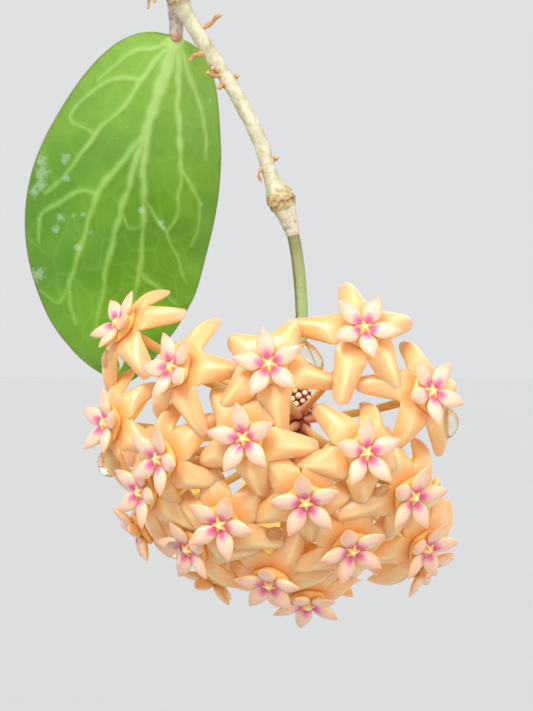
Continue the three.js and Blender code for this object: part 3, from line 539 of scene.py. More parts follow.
def corona_finish(look):
    """Glossy crown lobes: creamy pink, with a magenta flush at the inner end and a faint keel line."""
    f = Finish(
        "crown_wax", Subsurface_Weight=0.25, Subsurface_Scale=0.001, Subsurface_Radius=(1.0, 0.6, 0.5),
        Specular_IOR_Level=0.5, Coat_Weight=0.25, Coat_Roughness=0.18,
    )
    along, keel, heart = f.attribute("along"), f.attribute("keel"), f.attribute("heart")
    side, low = f.attribute("side"), f.attribute("low")
    blush = f.ramp(
        along + (f.noise(0.8) - 0.5) * 0.12 + side * 0.22, (0.0, paint(238, 130, 100)), (0.08, paint(224, 78, 116)),
        (0.19, paint(226, 100, 142)), (0.3, paint(238, 158, 166)), (0.42, paint(247, 203, 178)),
        (0.72, tuple(look.corona_tip)), (1.0, paint(246, 180, 144)),
    )
    line = f.step(keel, 0.35, 1.0) * f.step(along, 0.15, 0.35) * (1 - f.step(along, 0.7, 1.0)) * 0.5
    colour = f.mix(line, blush, paint(228, 142, 146))
    colour = f.mix(f.step(side, 0.74, 1.0) * f.step(along, 0.1, 0.3) * 0.6, colour, paint(254, 226, 168))
    colour = f.mix(f.step(low, 0.1, 0.7) * 0.8, colour, paint(254, 204, 132))
    middle = f.ramp(
        heart, (0.0, paint(254, 180, 96)), (0.3, paint(254, 196, 106)), (0.6, paint(254, 200, 104)),
        (0.85, paint(255, 232, 170)),
    )
    colour = f.mix(f.step(heart, 0.02, 0.08), colour, middle)
    return f.finished(colour, 0.22 + f.noise(0.7) * 0.14, (f.noise(0.35), 0.02))


def pedicel_finish():
    """Red-brown at the rachis, then yellow, and orange at the flower."""
    f = Finish("flower_stalks", Subsurface_Weight=0.3, Subsurface_Scale=0.001, Specular_IOR_Level=0.45)
    along = f.attribute("along")
    colour = f.ramp(
        along, (0.0, paint(212, 146, 122)), (0.12, paint(226, 168, 128)), (0.25, paint(238, 200, 116)),
        (0.8, paint(246, 206, 118)), (1.0, paint(250, 178, 98)),
    )
    colour = f.mix(f.step(f.noise(1.5), 0.5, 0.7) * 0.25, colour, paint(216, 164, 86))
    return f.finished(colour, 0.4 + f.noise(0.6) * 0.2, (f.noise(0.4), 0.05))


def rachis_finish():
    """Knobs where old flowers dropped: cream beads with brown rings near the top, glossy red-brown ones below."""
    f = Finish("rachis_knobs", Specular_IOR_Level=0.5)
    cap, low = f.attribute("cap"), f.attribute("low")
    bead = f.mix(f.step(cap, 0.3, 0.55), paint(150, 88, 58), paint(246, 218, 184))
    dark = f.mix(f.step(cap, 0.5, 0.8) * f.noise(1.2), paint(116, 50, 32), paint(214, 150, 124))
    colour = f.mix(f.step(low + (f.noise(2.0) - 0.5) * 0.3, 0.36, 0.52), bead, dark)
    return f.finished(colour, 0.3 + cap * 0.3, (f.noise(0.35), 0.05))


def peduncle_finish(look):
    """Green stem, greyer at the vine, with fine streaks and brown specks, and painted shade on its left side."""
    f = Finish("flower_stem_skin", Specular_IOR_Level=0.35)
    along, left = f.attribute("along"), f.attribute("left")
    colour = f.ramp(
        along + (f.noise(3.0) - 0.5) * 0.15, (0.0, paint(126, 124, 84)), (0.2, paint(150, 158, 104)),
        (0.5, tuple(look.peduncle)), (1.0, paint(166, 184, 116)),
    )
    streak = f.step(f.noise(0.9, stretch=(1, 1, 0.15)), 0.5, 0.68) * 0.3
    colour = f.mix(streak, colour, paint(138, 152, 92))
    # Painted shade: the left side of the stem darker and browner.
    shade = f.step(left + (f.noise(0.9, 3.0) - 0.5) * 0.8, 0.45, 0.85) * 0.7
    colour = f.mix(shade, colour, paint(104, 96, 58))
    speck = (1 - f.step(f.cells(0.7), 0.1, 0.25)) * (1 - f.step(along, 0.3, 0.7)) * 0.5
    colour = f.mix(speck, colour, paint(110, 90, 54))
    return f.finished(colour, 0.5 + f.noise(0.8) * 0.15, (f.noise(0.5, stretch=(1, 1, 0.3)), 0.08))


def bark_finish(look):
    """Old pale bark: grey weathering, small dark pits, rough tan knots, and tan roots with paler tips."""
    f = Finish("vine_bark", Specular_IOR_Level=0.25)
    knot, root, sheath = f.attribute("knot"), f.attribute("root"), f.attribute("sheath")
    patch = f.noise(2.2, 4.0, 0.6)
    colour = f.ramp(
        patch, (0.25, paint(182, 174, 142)), (0.45, tuple(look.bark)), (0.62, paint(226, 220, 192)),
        (0.8, paint(204, 194, 160)),
    )
    streak = f.step(f.noise(0.7, 5.0, 0.7, stretch=(1, 1, 0.35)), 0.5, 0.7) * 0.4
    colour = f.mix(streak, colour, paint(164, 152, 118))
    pit = (1 - f.step(f.cells(1.5) + f.noise(0.5) * 0.12, 0.1, 0.2)) * f.step(f.noise(5.0), 0.4, 0.6)
    colour = f.mix(pit * 0.5, colour, paint(128, 106, 74))
    rough = f.ramp(
        f.noise(0.8, 5.0, 0.75), (0.34, paint(118, 86, 48)), (0.46, paint(190, 160, 104)), (0.58, paint(228, 210, 164)),
    )
    colour = f.mix(f.step(knot + (f.noise(0.9, 4.0, 0.7) - 0.5) * 1.3, 0.35, 0.7), colour, rough)
    skin = f.mix(f.step(f.noise(0.8, 4.0, 0.6), 0.46, 0.7), paint(218, 210, 188), paint(176, 160, 136))
    colour = f.mix(sheath, colour, skin)
    tan = f.ramp(
        root + (f.noise(0.6) - 0.5) * 0.3, (0.1, paint(230, 204, 158)), (0.35, paint(212, 170, 118)),
        (0.75, paint(190, 138, 88)), (1.0, paint(226, 194, 142)),
    )
    colour = f.mix(f.step(root, 0.02, 0.12), colour, tan)
    grain, crust = f.noise(0.45, 4.0, 0.65), f.noise(0.5, 5.0, 0.75) * knot
    return f.finished(colour, 0.72 + patch * 0.2, (grain, 0.12), (crust, 0.3), (1 - pit, 0.06))


def leaf_finish(look):
    """Waxy green leaf: pale raised veins, a darker rim, and chalky water marks."""
    f = Finish(
        "leaf_wax", Specular_IOR_Level=0.5, Coat_Weight=0.15, Coat_Roughness=0.3, Subsurface_Weight=0.08,
        Subsurface_Scale=0.001, Subsurface_Radius=(0.6, 1.0, 0.2),
    )
    vein, fine, along = f.attribute("vein"), f.attribute("fine"), f.attribute("along")
    rim, mark, under, stalk = (f.attribute(n) for n in ("rim", "mark", "under", "stalk"))
    body = f.mix(f.step(f.noise(14.0, 2.0), 0.35, 0.65), tuple(look.leaf_deep), tuple(look.leaf))
    light = f.ramp(along, (0.0, (1, 1, 1, 1)), (0.45, (0, 0, 0, 1)))
    body = f.mix(light * 0.6, body, tuple(look.leaf_light))
    body = f.mix(f.step(f.noise(1.6, 4.0, 0.6), 0.45, 0.7) * 0.2, body, paint(92, 146, 28))
    body = f.mix(fine * 0.1, body, paint(160, 206, 92))
    pale = f.ramp(along, (0.0, paint(206, 240, 146)), (0.5, paint(172, 216, 108)), (1.0, paint(142, 190, 74)))
    colour = f.mix(f.step(vein, 0.02, 1.0) * (0.4 + f.noise(3.0) * 0.55), body, pale)
    below = f.mix(f.step(f.noise(4.0, 4.0, 0.6), 0.4, 0.66), paint(142, 172, 84), paint(166, 190, 112))
    below = f.mix(f.step(vein, 0.03, 0.6) * 0.7, below, paint(196, 214, 146))
    colour = f.mix(under * 0.8, colour, below)
    colour = f.mix(f.step(rim, 0.6, 1.0) * 0.35, colour, paint(118, 120, 54))
    chalk = f.step(mark + (f.noise(0.8, 4.0, 0.7) - 0.5) * 1.8, 0.45, 1.0)
    speck = (1 - f.step(f.cells(2.6), 0.03, 0.06)) * f.step(f.noise(9.0), 0.42, 0.6)
    colour = f.mix((chalk * 0.34 + speck * 0.5).clipped(), colour, paint(198, 222, 200))
    flesh = f.mix(f.step(f.noise(0.9, 3.0), 0.44, 0.7), paint(214, 196, 190), paint(170, 146, 128))
    flesh = f.mix(rim * 0.8, flesh, paint(192, 138, 96))
    colour = f.mix(stalk, colour, flesh)
    roughness = (0.34 + f.noise(2.0) * 0.12 + chalk * 0.3 + stalk * 0.25).clipped()
    return f.finished(colour, roughness, (f.noise(0.6, 3.0), 0.03), (f.noise(2.6, 2.0), 0.08))


def clay_finish(look):
    """Dry terracotta: sandy grain, lime bloom under the rim and at the foot, darker damp patches."""
    f = Finish("terracotta", Specular_IOR_Level=0.2)
    height = f.node("SeparateXYZ", sockets={0: f.place}, out="Z")
    cloud = f.noise(26.0, 4.0, 0.6)
    colour = f.ramp(cloud, (0.3, paint(164, 92, 62)), (0.5, tuple(look.clay)), (0.72, paint(206, 136, 100)))
    damp = f.step(f.noise(17.0, 4.0), 0.5, 0.66) * (1 - f.step(height, -196, -160)) * 0.4
    colour = f.mix(damp, colour, paint(120, 72, 50))
    bloom_noise = f.noise(7.0, 5.0, 0.68)
    foot = (1 - f.step(height, -203, -176)) * f.step(bloom_noise, 0.44, 0.62) * 0.6
    near_band = f.step(height, -168, -150) * (1 - f.step(height, -148, -140))
    band = near_band * f.step(bloom_noise, 0.5, 0.68) * 0.55
    colour = f.mix((foot + band).clipped(), colour, paint(226, 206, 184))
    moss = f.step(f.noise(4.5, 4.0, 0.6), 0.56, 0.7) * (1 - f.step(height, -204, -186)) * 0.5
    colour = f.mix(moss, colour, paint(112, 116, 66))
    grain = f.cells(0.9)
    colour = f.mix((1 - f.step(grain, 0.12, 0.3)) * 0.28, colour, paint(232, 178, 142))
    return f.finished(colour, 0.8 + cloud * 0.15, (f.noise(0.7, 4.0, 0.6), 0.12), (grain, 0.08), (f.noise(9.0), 0.25))


def mix_finish(look):
    """Coarse orchid bark: chips in browns from dark to pale, and damp dark crumbs between."""
    f = Finish("bark_mix", Specular_IOR_Level=0.2)
    tone, grit = f.attribute("tone"), f.attribute("grit")
    grain = f.noise(0.9, 4.0, 0.65, stretch=(1, 0.3, 1))
    colour = f.ramp(
        (tone + (grain - 0.5) * 0.5).clipped(), (0.0, paint(52, 34, 24)), (0.35, tuple(look.mix)),
        (0.7, paint(142, 96, 62)), (1.0, paint(176, 134, 92)),
    )
    colour = f.mix(grit, colour, paint(222, 218, 208))
    return f.finished(colour, 0.82 + grain * 0.14, (grain, 0.35), (f.noise(0.5, 3.0), 0.1))


def wire_finish(look):
    """Galvanised wire: dull spangled zinc with a few rust freckles."""
    f = Finish("galvanised_wire", Metallic=1.0)
    spangle = f.noise(1.6, 4.0, 0.6)
    colour = f.mix(spangle, paint(150, 152, 152), tuple(look.wire))
    rust = (1 - f.step(f.cells(2.8), 0.07, 0.17)) * f.step(f.noise(12.0), 0.5, 0.65)
    colour = f.mix(rust * 0.8, colour, paint(136, 84, 50))
    f.feed("Metallic", 1 - rust * 0.9)
    roughness = (0.34 + spangle * 0.18 + rust * 0.3).clipped()
    return f.finished(colour, roughness, (f.noise(0.5, stretch=(1, 1, 0.3)), 0.04), (rust, 0.05))


def nectar_finish():
    """Clear thin nectar, a little warmer in places."""
    f = Finish("clear_nectar", Transmission_Weight=1.0, IOR=1.38, Specular_IOR_Level=0.5)
    colour = f.mix(f.noise(2.0), paint(255, 252, 244), paint(252, 244, 224))
    return f.finished(colour, 0.02 + f.noise(1.0) * 0.02)


class Flower:
    """One flower's place: its centre, its axis, and two ways across it."""

    def __init__(self, way, axis, first):
        self.way, self.axis, self.first = way, axis, first
        self.centre = RACHIS + FLOWER_REACH * way
        self.second = np.cross(axis, first)
        self.petals = []

    def point(self, radius, angle, height):
        """Points out from the axis at an angle, and above the centre."""
        radius, angle, height = np.broadcast_arrays(*(np.asarray(v, float) for v in (radius, angle, height)))
        across = self.first * (np.cos(angle) * radius)[..., None] + self.second * (np.sin(angle) * radius)[..., None]
        return self.centre + across + self.axis * height[..., None]


def petal_midline(distance, reflex):
    """How far out and how high a petal's midline runs at a distance along it, and how far it has bent back."""
    radius = (PETAL_LENGTH - PETAL_FLAT) / math.radians(reflex)
    turn = np.maximum(0, distance - PETAL_FLAT) / radius
    out = np.minimum(distance, PETAL_FLAT) + radius * np.sin(turn)
    return out, -CORONA_LIFT - radius * (1 - np.cos(turn)), turn


def seen_place(right, up):
    """The way from the rachis to the near point of the flower ball that the front eye sees there."""
    sight = unit(RACHIS + np.array([right, 0, up]) - FRONT_EYE)
    back = FRONT_EYE - RACHIS
    middle = -np.dot(sight, back)
    reach = middle - math.sqrt(max(0.0, middle**2 - np.dot(back, back) + FLOWER_REACH**2))
    return unit(back + sight * reach)


def seen_lobe(axis, lobe):
    """The way square to the axis that looks turned by an angle from the front."""
    seen = np.array([math.cos(math.radians(lobe)), 0, math.sin(math.radians(lobe))])
    seen[1] = -np.dot(seen, axis) / axis[1]
    return unit(seen)


def flower_places():
    """The front flowers one by one, and the rest of the dome behind them along a golden-angle spiral."""
    flowers = []
    for right, up, lobe, lean_x, lean_z in FRONT_FLOWERS:
        axis = np.array([lean_x, -math.sqrt(1 - lean_x**2 - lean_z**2), lean_z])
        flowers.append(Flower(seen_place(right, up), axis, seen_lobe(axis, lobe)))
    for i in range(SPIRAL_PLACES):
        z = 1 - (2 * i + 1) / SPIRAL_PLACES
        flat, turn = math.sqrt(1 - z * z), i * GOLDEN_ANGLE
        way = np.array([math.cos(turn) * flat, math.sin(turn) * flat, z])
        if np.dot(way, DOME_AXIS) < math.cos(DOME_HALF_ANGLE):
            continue
        if way[0] > HIGHEST_X or way[1] < LOWEST_Y or way[2] > HIGHEST_Z:
            continue
        if all(np.dot(way, other.way) < math.cos(FLOWER_SPACING) for other in flowers):
            axis = unit(way + BACK_LEAN)
            level = unit(np.cross(axis, [0, 0, 1]))
            flowers.append(Flower(way, axis, turned(level, axis, math.radians(GUESSED_TURN * len(flowers)))))
    return flowers


def set_petals(flowers):
    """Each petal bends back and leans as it is seen to, or else so that it keeps clearest of those round it."""
    lobes = np.radians(FIFTH * np.arange(5))
    choices = [(reflex, sway) for sway in SWAY_CHOICES for reflex in REFLEX_CHOICES]
    taken = [(flower, flower.point(CORONA_RADIUS * 0.6, lobes, 0.5)) for flower in flowers]
    shares = np.array([0.5, 0.65, 0.8, 0.9, 1]) * PETAL_LENGTH
    for number, flower in enumerate(flowers, 1):
        near = [
            points for other, points in taken
            if other is not flower and np.linalg.norm(other.centre - flower.centre) < 2 * PETAL_LENGTH
        ]
        near = np.vstack(near) if near else np.zeros((0, 3))
        for k in range(5):
            best = (-1, None, None, None)
            for reflex, sway in [SEEN_BENDS[number, k]] if (number, k) in SEEN_BENDS else choices:
                out, up, _ = petal_midline(shares, reflex)
                angle = math.radians(TENTH + FIFTH * k) + np.radians(sway * shares / PETAL_LENGTH)
                points = flower.point(out, angle, up)
                gaps = np.linalg.norm(points[:, None] - near[None], axis=2)
                clear = min(ENOUGH_CLEARANCE, gaps.min()) if gaps.size else ENOUGH_CLEARANCE
                if clear > best[0] + BETTER_BY:
                    best = (clear, reflex, sway, points)
            flower.petals.append(best[1:3])
            taken.append((flower, best[3]))


FLOWERS = flower_places()
set_petals(FLOWERS)

# Petal outline: distance along the petal, its half width, how far its edge lags behind its middle, and how far
# the edge rolls down. Up to the sinus the petals are joined.
SINUS = 5.5
PETAL_ROWS = [
    (1.3, None, None, 0.0), (2.8, None, None, 0.05), (4.2, None, None, 0.24), (SINUS, None, None, 0.55),
    (6.1, 3.06, 1.2, 1.0), (7.0, 2.82, 1.1, 1.5), (8.1, 2.56, 0.9, 1.95), (9.3, 2.34, 0.7, 2.15),
    (10.5, 2.14, 0.5, 2.1), (11.6, 1.96, 0.36, 1.85), (12.5, 1.76, 0.26, 1.45), (13.1, 1.5, 0.15, 1.0),
    (13.45, 1.04, 0.05, 0.6),
]
PETAL_COLUMNS = 10
CREST = 0.22
PETAL_SHEET = 0.7

# Rings of a crown's star: radius, height, how far its points stick out, and place in its colours from rim to middle
STAR_ROWS = [
    (2.9, -1.3, 0, 0.1), (3.25, -0.9, -0.06, 0.18), (3.15, -0.45, -0.08, 0.26), (2.6, -0.16, -0.08, 0.3),
    (1.9, -0.04, 0, 0.26), (1.5, 0.1, 0.1, 0.16), (1.15, 0.45, 0.3, 0.15), (0.85, 0.8, 0.36, 0.4),
    (0.58, 0.92, 0.3, 0.62), (0.44, 1.12, 0.22, 0.9), (0.25, 1.22, 0.1, 1.0),
]


def corolla_sheet(flower, number):
    """The upper face of a flower's five joined petals."""
    draw = random.Random(100 + number)
    shape = Shape()
    shape.add([flower.point(0, 0, -CORONA_LIFT)], [], along=0, edge=0)
    wide = PETAL_COLUMNS + 1
    q = np.linspace(-1, 1, wide)
    for k, (reflex, sway) in enumerate(flower.petals):
        twist = math.radians(draw.uniform(-9, 9))
        rows = []
        for distance, half, lag, drop in PETAL_ROWS:
            if half is None:
                half = distance * math.sin(math.radians(TENTH))
                lag = distance * (1 - math.cos(math.radians(TENTH)))
            fold = float(smooth(distance, 2.0, 7.0))
            roof = (np.sqrt(q**2 + CREST**2) - CREST) / (math.sqrt(1 + CREST**2) - CREST)
            fall = drop * ((1 - fold) * q**2 + fold * (0.75 * roof + 0.25 * q**4))
            sweep = q * (1 + 0.14 * fold * (1 - q**2))
            out, up, turn = petal_midline(distance - lag * q**2, reflex)
            lean = float(smooth(distance, 4.6, 8.5))
            angle = math.radians(TENTH + FIFTH * k + sway * distance / PETAL_LENGTH * lean)
            radial = flower.first * math.cos(angle) + flower.second * math.sin(angle)
            across = np.cross(flower.axis, radial)
            down = -flower.axis * np.cos(turn)[:, None] - radial * np.sin(turn)[:, None]
            tilt = twist * float(smooth(distance, 7, PETAL_LENGTH))
            side = half * sweep * math.cos(tilt)
            deep = fall + half * sweep * math.sin(tilt)
            crest = flower.centre + radial * out[:, None] + flower.axis * up[:, None]
            rows.append(crest + across * side[:, None] + down * deep[:, None])
        faces = []
        for r in range(len(rows) - 1):
            for c in range(PETAL_COLUMNS):
                a = r * wide + c
                faces.append((a, a + wide, a + wide + 1, a + 1))
        along = np.repeat([row[0] / PETAL_LENGTH for row in PETAL_ROWS], wide)
        base = shape.count
        shape.add(np.vstack(rows), faces, along=along, edge=np.tile(np.abs(q), len(rows)))
        shape.faces += [(0, base + c, base + c + 1) for c in range(PETAL_COLUMNS)]
    return shape


def make_corollas(material):
    """A thick, rounded corolla for every flower, with its underside marked for the material."""
    for number, flower in enumerate(FLOWERS, 1):
        piece = make_piece(
            f"corolla_{number:02d}", corolla_sheet(flower, number).mesh("corolla"), "petal", material, "umbel"
        )
        only_select(piece)
        bpy.ops.object.mode_set(mode="EDIT")
        bpy.ops.mesh.select_all(action="SELECT")
        bpy.ops.mesh.remove_doubles(threshold=0.00002)
        bpy.ops.object.mode_set(mode="OBJECT")
        if np.dot(np.array(piece.data.polygons[-1].normal), flower.axis) < 0:
            piece.data.flip_normals()
        upper = len(piece.data.vertices)
        finish_with(piece, "SOLIDIFY", thickness=PETAL_SHEET * MM, offset=-1, use_even_offset=False)
        under = [float(i >= upper) for i in range(len(piece.data.vertices))]
        piece.data.attributes.new("under", "FLOAT", "POINT").data.foreach_set("value", under)
        finish_with(piece, "SUBSURF", levels=1, render_levels=1)


def crown_shape():
    """A crown on its own axes: five spindle lobes round a low star."""
    crown = Shape()
    share = 0.5 - 0.5 * np.cos(np.linspace(0.06, math.pi - 0.03, 22))
    radius = LOBE_START + (CORONA_RADIUS + 0.15 - LOBE_START) * share
    height = 0.35 + 1.4 * share**1.5
    inner = 0.34 + 0.66 * np.sin(math.pi / 2 * share / LOBE_WIDEST)
    outer = np.cos(math.pi / 2 * np.clip(share - LOBE_WIDEST, 0, 1) / (1 - LOBE_WIDEST)) ** 0.8
    body = np.where(share < LOBE_WIDEST, inner, outer)
    rings, sides = len(share), 18
    angles = round_angles(sides)
    for k in range(5):
        turn = math.radians(FIFTH * k)
        way = np.array([math.cos(turn), math.sin(turn), 0])
        across = np.array([-way[1], way[0], 0])
        line = way * radius[:, None] + np.array([0, 0, 1]) * height[:, None]
        side = np.cos(angles)[None, :] * body[:, None] * LOBE_HALF_WIDTH
        keel = 1 + 0.14 * np.clip(np.sin(angles), 0, 1) ** 6
        rise = np.where(np.sin(angles) > 0, LOBE_RISE, LOBE_DEPTH) * np.sin(angles) * keel
        rise = rise[None, :] * body[:, None]
        points = line[:, None] + across * side[..., None] + np.array([0, 0, 1]) * rise[..., None]
        points = np.vstack([points.reshape(-1, 3), line[:1] - way * 0.05, line[-1:] + way * 0.06])
        middle = np.exp(-((side / 0.22) ** 2)) * (np.sin(angles) > 0)
        crown.add(
            points, skin_faces(rings, sides), along=np.concatenate([np.repeat(share, sides), [0, 1]]),
            keel=np.concatenate([middle.reshape(-1), [0, 0]]), heart=0,
            side=np.concatenate([np.tile(np.abs(np.cos(angles)), rings), [0, 0]]),
            low=np.concatenate([np.tile(np.clip(-np.sin(angles), 0, 1), rings), [0, 0]]),
        )
    add_star(crown)
    return crown


def add_star(crown):
    """The low star in the middle of a crown, whose points lie between the lobes."""
    sides = 30
    angles = round_angles(sides)
    points_out = np.cos(5 * (angles - math.radians(TENTH)))
    points = []
    for radius, height, star, _ in STAR_ROWS:
        reach = radius * (1 + star * points_out)
        points.append(np.stack([np.cos(angles) * reach, np.sin(angles) * reach, 0 * reach + height], axis=1))
    points.append([[0, 0, -1.3], [0, 0, 1.28]])
    heart = np.concatenate([np.repeat([row[3] for row in STAR_ROWS], sides), [0.06, 1.0]])
    crown.add(np.vstack(points), skin_faces(len(STAR_ROWS), sides), along=0, keel=0, heart=heart, side=0, low=0)


def make_crowns(material):
    """The crown is modelled once, and each flower gets a copy turned to its own axes."""
    template = crown_shape()
    flat = np.vstack(template.points)
    for number, flower in enumerate(FLOWERS, 1):
        axes = np.array([flower.first, flower.second, flower.axis])
        copy = Shape()
        copy.points, copy.faces, copy.values, copy.count = (
            [flower.centre + flat @ axes], template.faces, template.values, template.count,
        )
        name = f"corona_{number:02d}"
        make_piece("crown_" + name[-2:], copy.mesh(name), "corona", material, name)


def bezier(p0, p1, p2, p3, shares):
    s = shares[:, None]
    return p0 * (1 - s) ** 3 + 3 * p1 * s * (1 - s) ** 2 + 3 * p2 * s**2 * (1 - s) + p3 * s**3


def make_pedicels(material):
    """A thin curved stalk from the rachis to every flower, a little thicker at both ends."""
    shape = Shape()
    sides = 12
    shares = np.linspace(0, 1, 26)
    for number, flower in enumerate(FLOWERS):
        base = flower.centre - flower.axis * (CORONA_LIFT + 0.6)
        foot_z = PEDICEL_SPREAD_Z * (flower.way[2] + 0.15) + PEDICEL_FOOT_Z
        start = RACHIS + np.array([0, 0, foot_z]) + flower.way
        first, last = PEDICEL_PULLS
        line = bezier(start, start + flower.way * first, base - flower.axis * last, base, shares)
        radii = 0.7 + 0.35 * shares**6 + 0.15 * (1 - smooth(shares, 0, 0.12))
        lumps = 1 + 0.06 * noise_grid(shares, range(sides), lambda s, a: (s * 9, a * 1.5, number))
        shape.tube(line, radii[:, None] * lumps, sides, along=shares)
    make_piece("pedicels", shape.mesh("pedicels"), "petal", material, "umbel")


def add_knob(shape, centre, way, radius, height, **values):
    """A blunt knob that stands on a surface, way being its outward direction."""
    side = unit(np.cross(way, [0.31, 0.87, 0.4]))
    up = np.cross(way, side)
    tiers = np.radians([-70, -35, 0, 30, 55, 75])
    sides = 9
    angles = round_angles(sides)
    ring = side * np.cos(angles)[:, None] + up * np.sin(angles)[:, None]
    points = [centre + ring * radius * math.cos(t) + way * height * math.sin(t) for t in tiers]
    points += [[centre - way * height], [centre + way * height]]
    cap = np.concatenate([np.repeat(np.clip(np.sin(tiers), 0, 1), sides), [0, 1]])
    shape.add(np.vstack(points), skin_faces(len(tiers), sides), cap=cap, **values)


def make_rachis(material):
    """The knobbly end of the flower stalk: scales and the scars of old flowers, set in a spiral."""
    draw = random.Random(5)
    shape = Shape()
    shares = np.linspace(0, 1, 30)
    top = RACHIS + np.array([0, 0, RACHIS_TOP])
    line = top + np.array([0, 0, -RACHIS_LENGTH]) * shares[:, None]
    radii = 2.3 - 1.2 * np.abs(shares - 0.45) - 0.5 * shares
    line, radii = rounded_ends(line, radii)
    shape.tube(line, radii, 24, cap=0.0, low=1.0)
    for i in range(KNOBS):
        share = (i + 0.5) / KNOBS
        angle = i * GOLDEN_ANGLE
        way = np.array([math.cos(angle), math.sin(angle), 0.35 - 0.5 * share])
        reach = 2.25 - 1.2 * abs(share - 0.45) - 0.5 * share
        centre = top + np.array([way[0] * reach, way[1] * reach, -8.8 * share])
        size = draw.uniform(0.44, 0.66)
        add_knob(shape, centre, unit(way), size, size * draw.uniform(0.8, 1.4), low=share)
    make_piece("rachis", shape.mesh("rachis"), "petal", material, "umbel")


def make_peduncle(material):
    """The green stem from the old vine down to the rachis."""
    path = Path(PEDUNCLE)
    shares = np.linspace(0, 1, 110)
    line = path.at(shares)
    sides = 24
    radii = 1.12 + 0.5 * shares**8 + 0.22 * np.exp(-((shares * path.length / 1.4) ** 2))
    bumps = noise_grid(shares, range(sides), lambda s, a: (s * 22, math.cos(a / 4) * 2, math.sin(a / 4) * 2))
    side, up = ring_frames(line)
    angles = round_angles(sides)
    # How far each point of the skin faces left, where the material paints shade.
    left = -(side[:, :1] * np.cos(angles) + up[:, :1] * np.sin(angles))
    shape = Shape()
    shape.tube(line, radii[:, None] + 0.05 * bumps, sides, along=shares, left=np.clip(left, 0, 1))
    make_piece("flower_stem", shape.mesh("flower_stem"), "peduncle", material, "peduncle")


def vine_swell(path, vine, shares):
    """How much the knots thicken a vine, and how near each place is to a knot."""
    swell, near = 0 * shares, 0 * shares
    for place, radius in vine["knots"]:
        away = (shares - path.share_near(place)) * path.length
        bell = np.exp(-((away / KNOT_SPREAD) ** 2))
        swell = np.maximum(swell, (radius - vine["radius"]) * bell)
        near = np.maximum(near, np.exp(-((away / (KNOT_SPREAD * 0.8)) ** 2)))
    return swell, near


def make_vine(name, material):
    """An old stem with lumpy, pitted bark. The main vine also has its aerial roots and the skin over its end."""
    vine = VINES[name]
    path = Path(vine["path"])
    rings, sides = int(path.length / BARK_RING_STEP), 28
    shares = np.linspace(0, 1, rings)
    swell, near = vine_swell(path, vine, shares)
    line = path.at(shares)
    side, up = ring_frames(line)
    radii = np.zeros((rings, sides))
    for s in range(sides):
        angle = 2 * math.pi * s / sides
        out = side * math.cos(angle) + up * math.sin(angle)
        skin = line + out * vine["radius"]
        for r in range(rings):
            place = Vector(skin[r])
            relief = 0.13 * noise.noise(place * 0.55) + 0.08 * noise.noise(place * 1.5)
            relief += near[r] * (0.5 * noise.noise(place * 1.1) + 0.34 * noise.noise(place * 2.6))
            pit = max(0.0, noise.noise(place * 1.9 + Vector((7, 3, 1))) - 0.38)
            radii[r, s] = vine["radius"] + swell[r] + relief - 0.4 * pit
    shape = Shape()
    line = np.vstack([line[:1], line, line[-1:]])
    line[0] -= unit(line[2] - line[1]) * 0.4
    line[-1] += unit(line[-2] - line[-3]) * 0.4
    radii = np.vstack([radii[:1] * 0.6, radii, radii[-1:] * 0.6])
    near = np.concatenate([near[:1], near, near[-1:]])
    shape.tube(line, radii, sides, knot=near, root=0.0, sheath=0.0)
    if name == "main_vine":
        add_roots(shape, path)
        add_sheath(shape)
    make_piece(name + "_bark", shape.mesh(name), "bark", material, name)


def add_sheath(shape):
    """The pale skin that runs from the last knot a little way down over the flower stem."""
    path = Path([SHEATH_START, *PEDUNCLE])
    shares = np.linspace(0, SHEATH_LENGTH / path.length, 22)
    radii = np.interp(shares, [0, shares[-1] * 0.5, shares[-1] * 0.93, shares[-1]], [1.95, 1.58, 1.28, 1.18])
    sides = 24
    lumps = noise_grid(shares, round_angles(sides), lambda s, a: (math.cos(a) * 2, math.sin(a) * 2, s * 90))
    shape.tube(
        path.at(shares), radii[:, None] + 0.08 * lumps, sides, knot=0.0, root=0.0, sheath=smooth(shares, 0, shares[8]),
    )


def add_roots(shape, path):
    """Short aerial roots, lumpy and blunt."""
    places = path.at(np.linspace(0, 1, 1200))
    sides = 12
    for number, (z, steps, thick, thin) in enumerate(ROOTS):
        start = places[np.nonzero(places[:, 2] >= z)[0].max()]
        root = Path([start, *(start + np.array(step) for step in steps)])
        along = np.linspace(0, 1, 22)
        radii = (thick + (thin - thick) * along) * (1.05 + 0.2 * np.sin(along * 17 + number))
        line, radii = rounded_ends(root.at(along), radii, 0.9)
        rings = len(radii)
        ragged = 1 + 0.35 * noise_grid(range(rings), range(sides), lambda i, a: (i * 0.7, a * 0.9, number * 5))
        shape.tube(line, radii[:, None] * ragged, sides, knot=0.0, root=np.linspace(0.02, 1, rings), sheath=0.0)


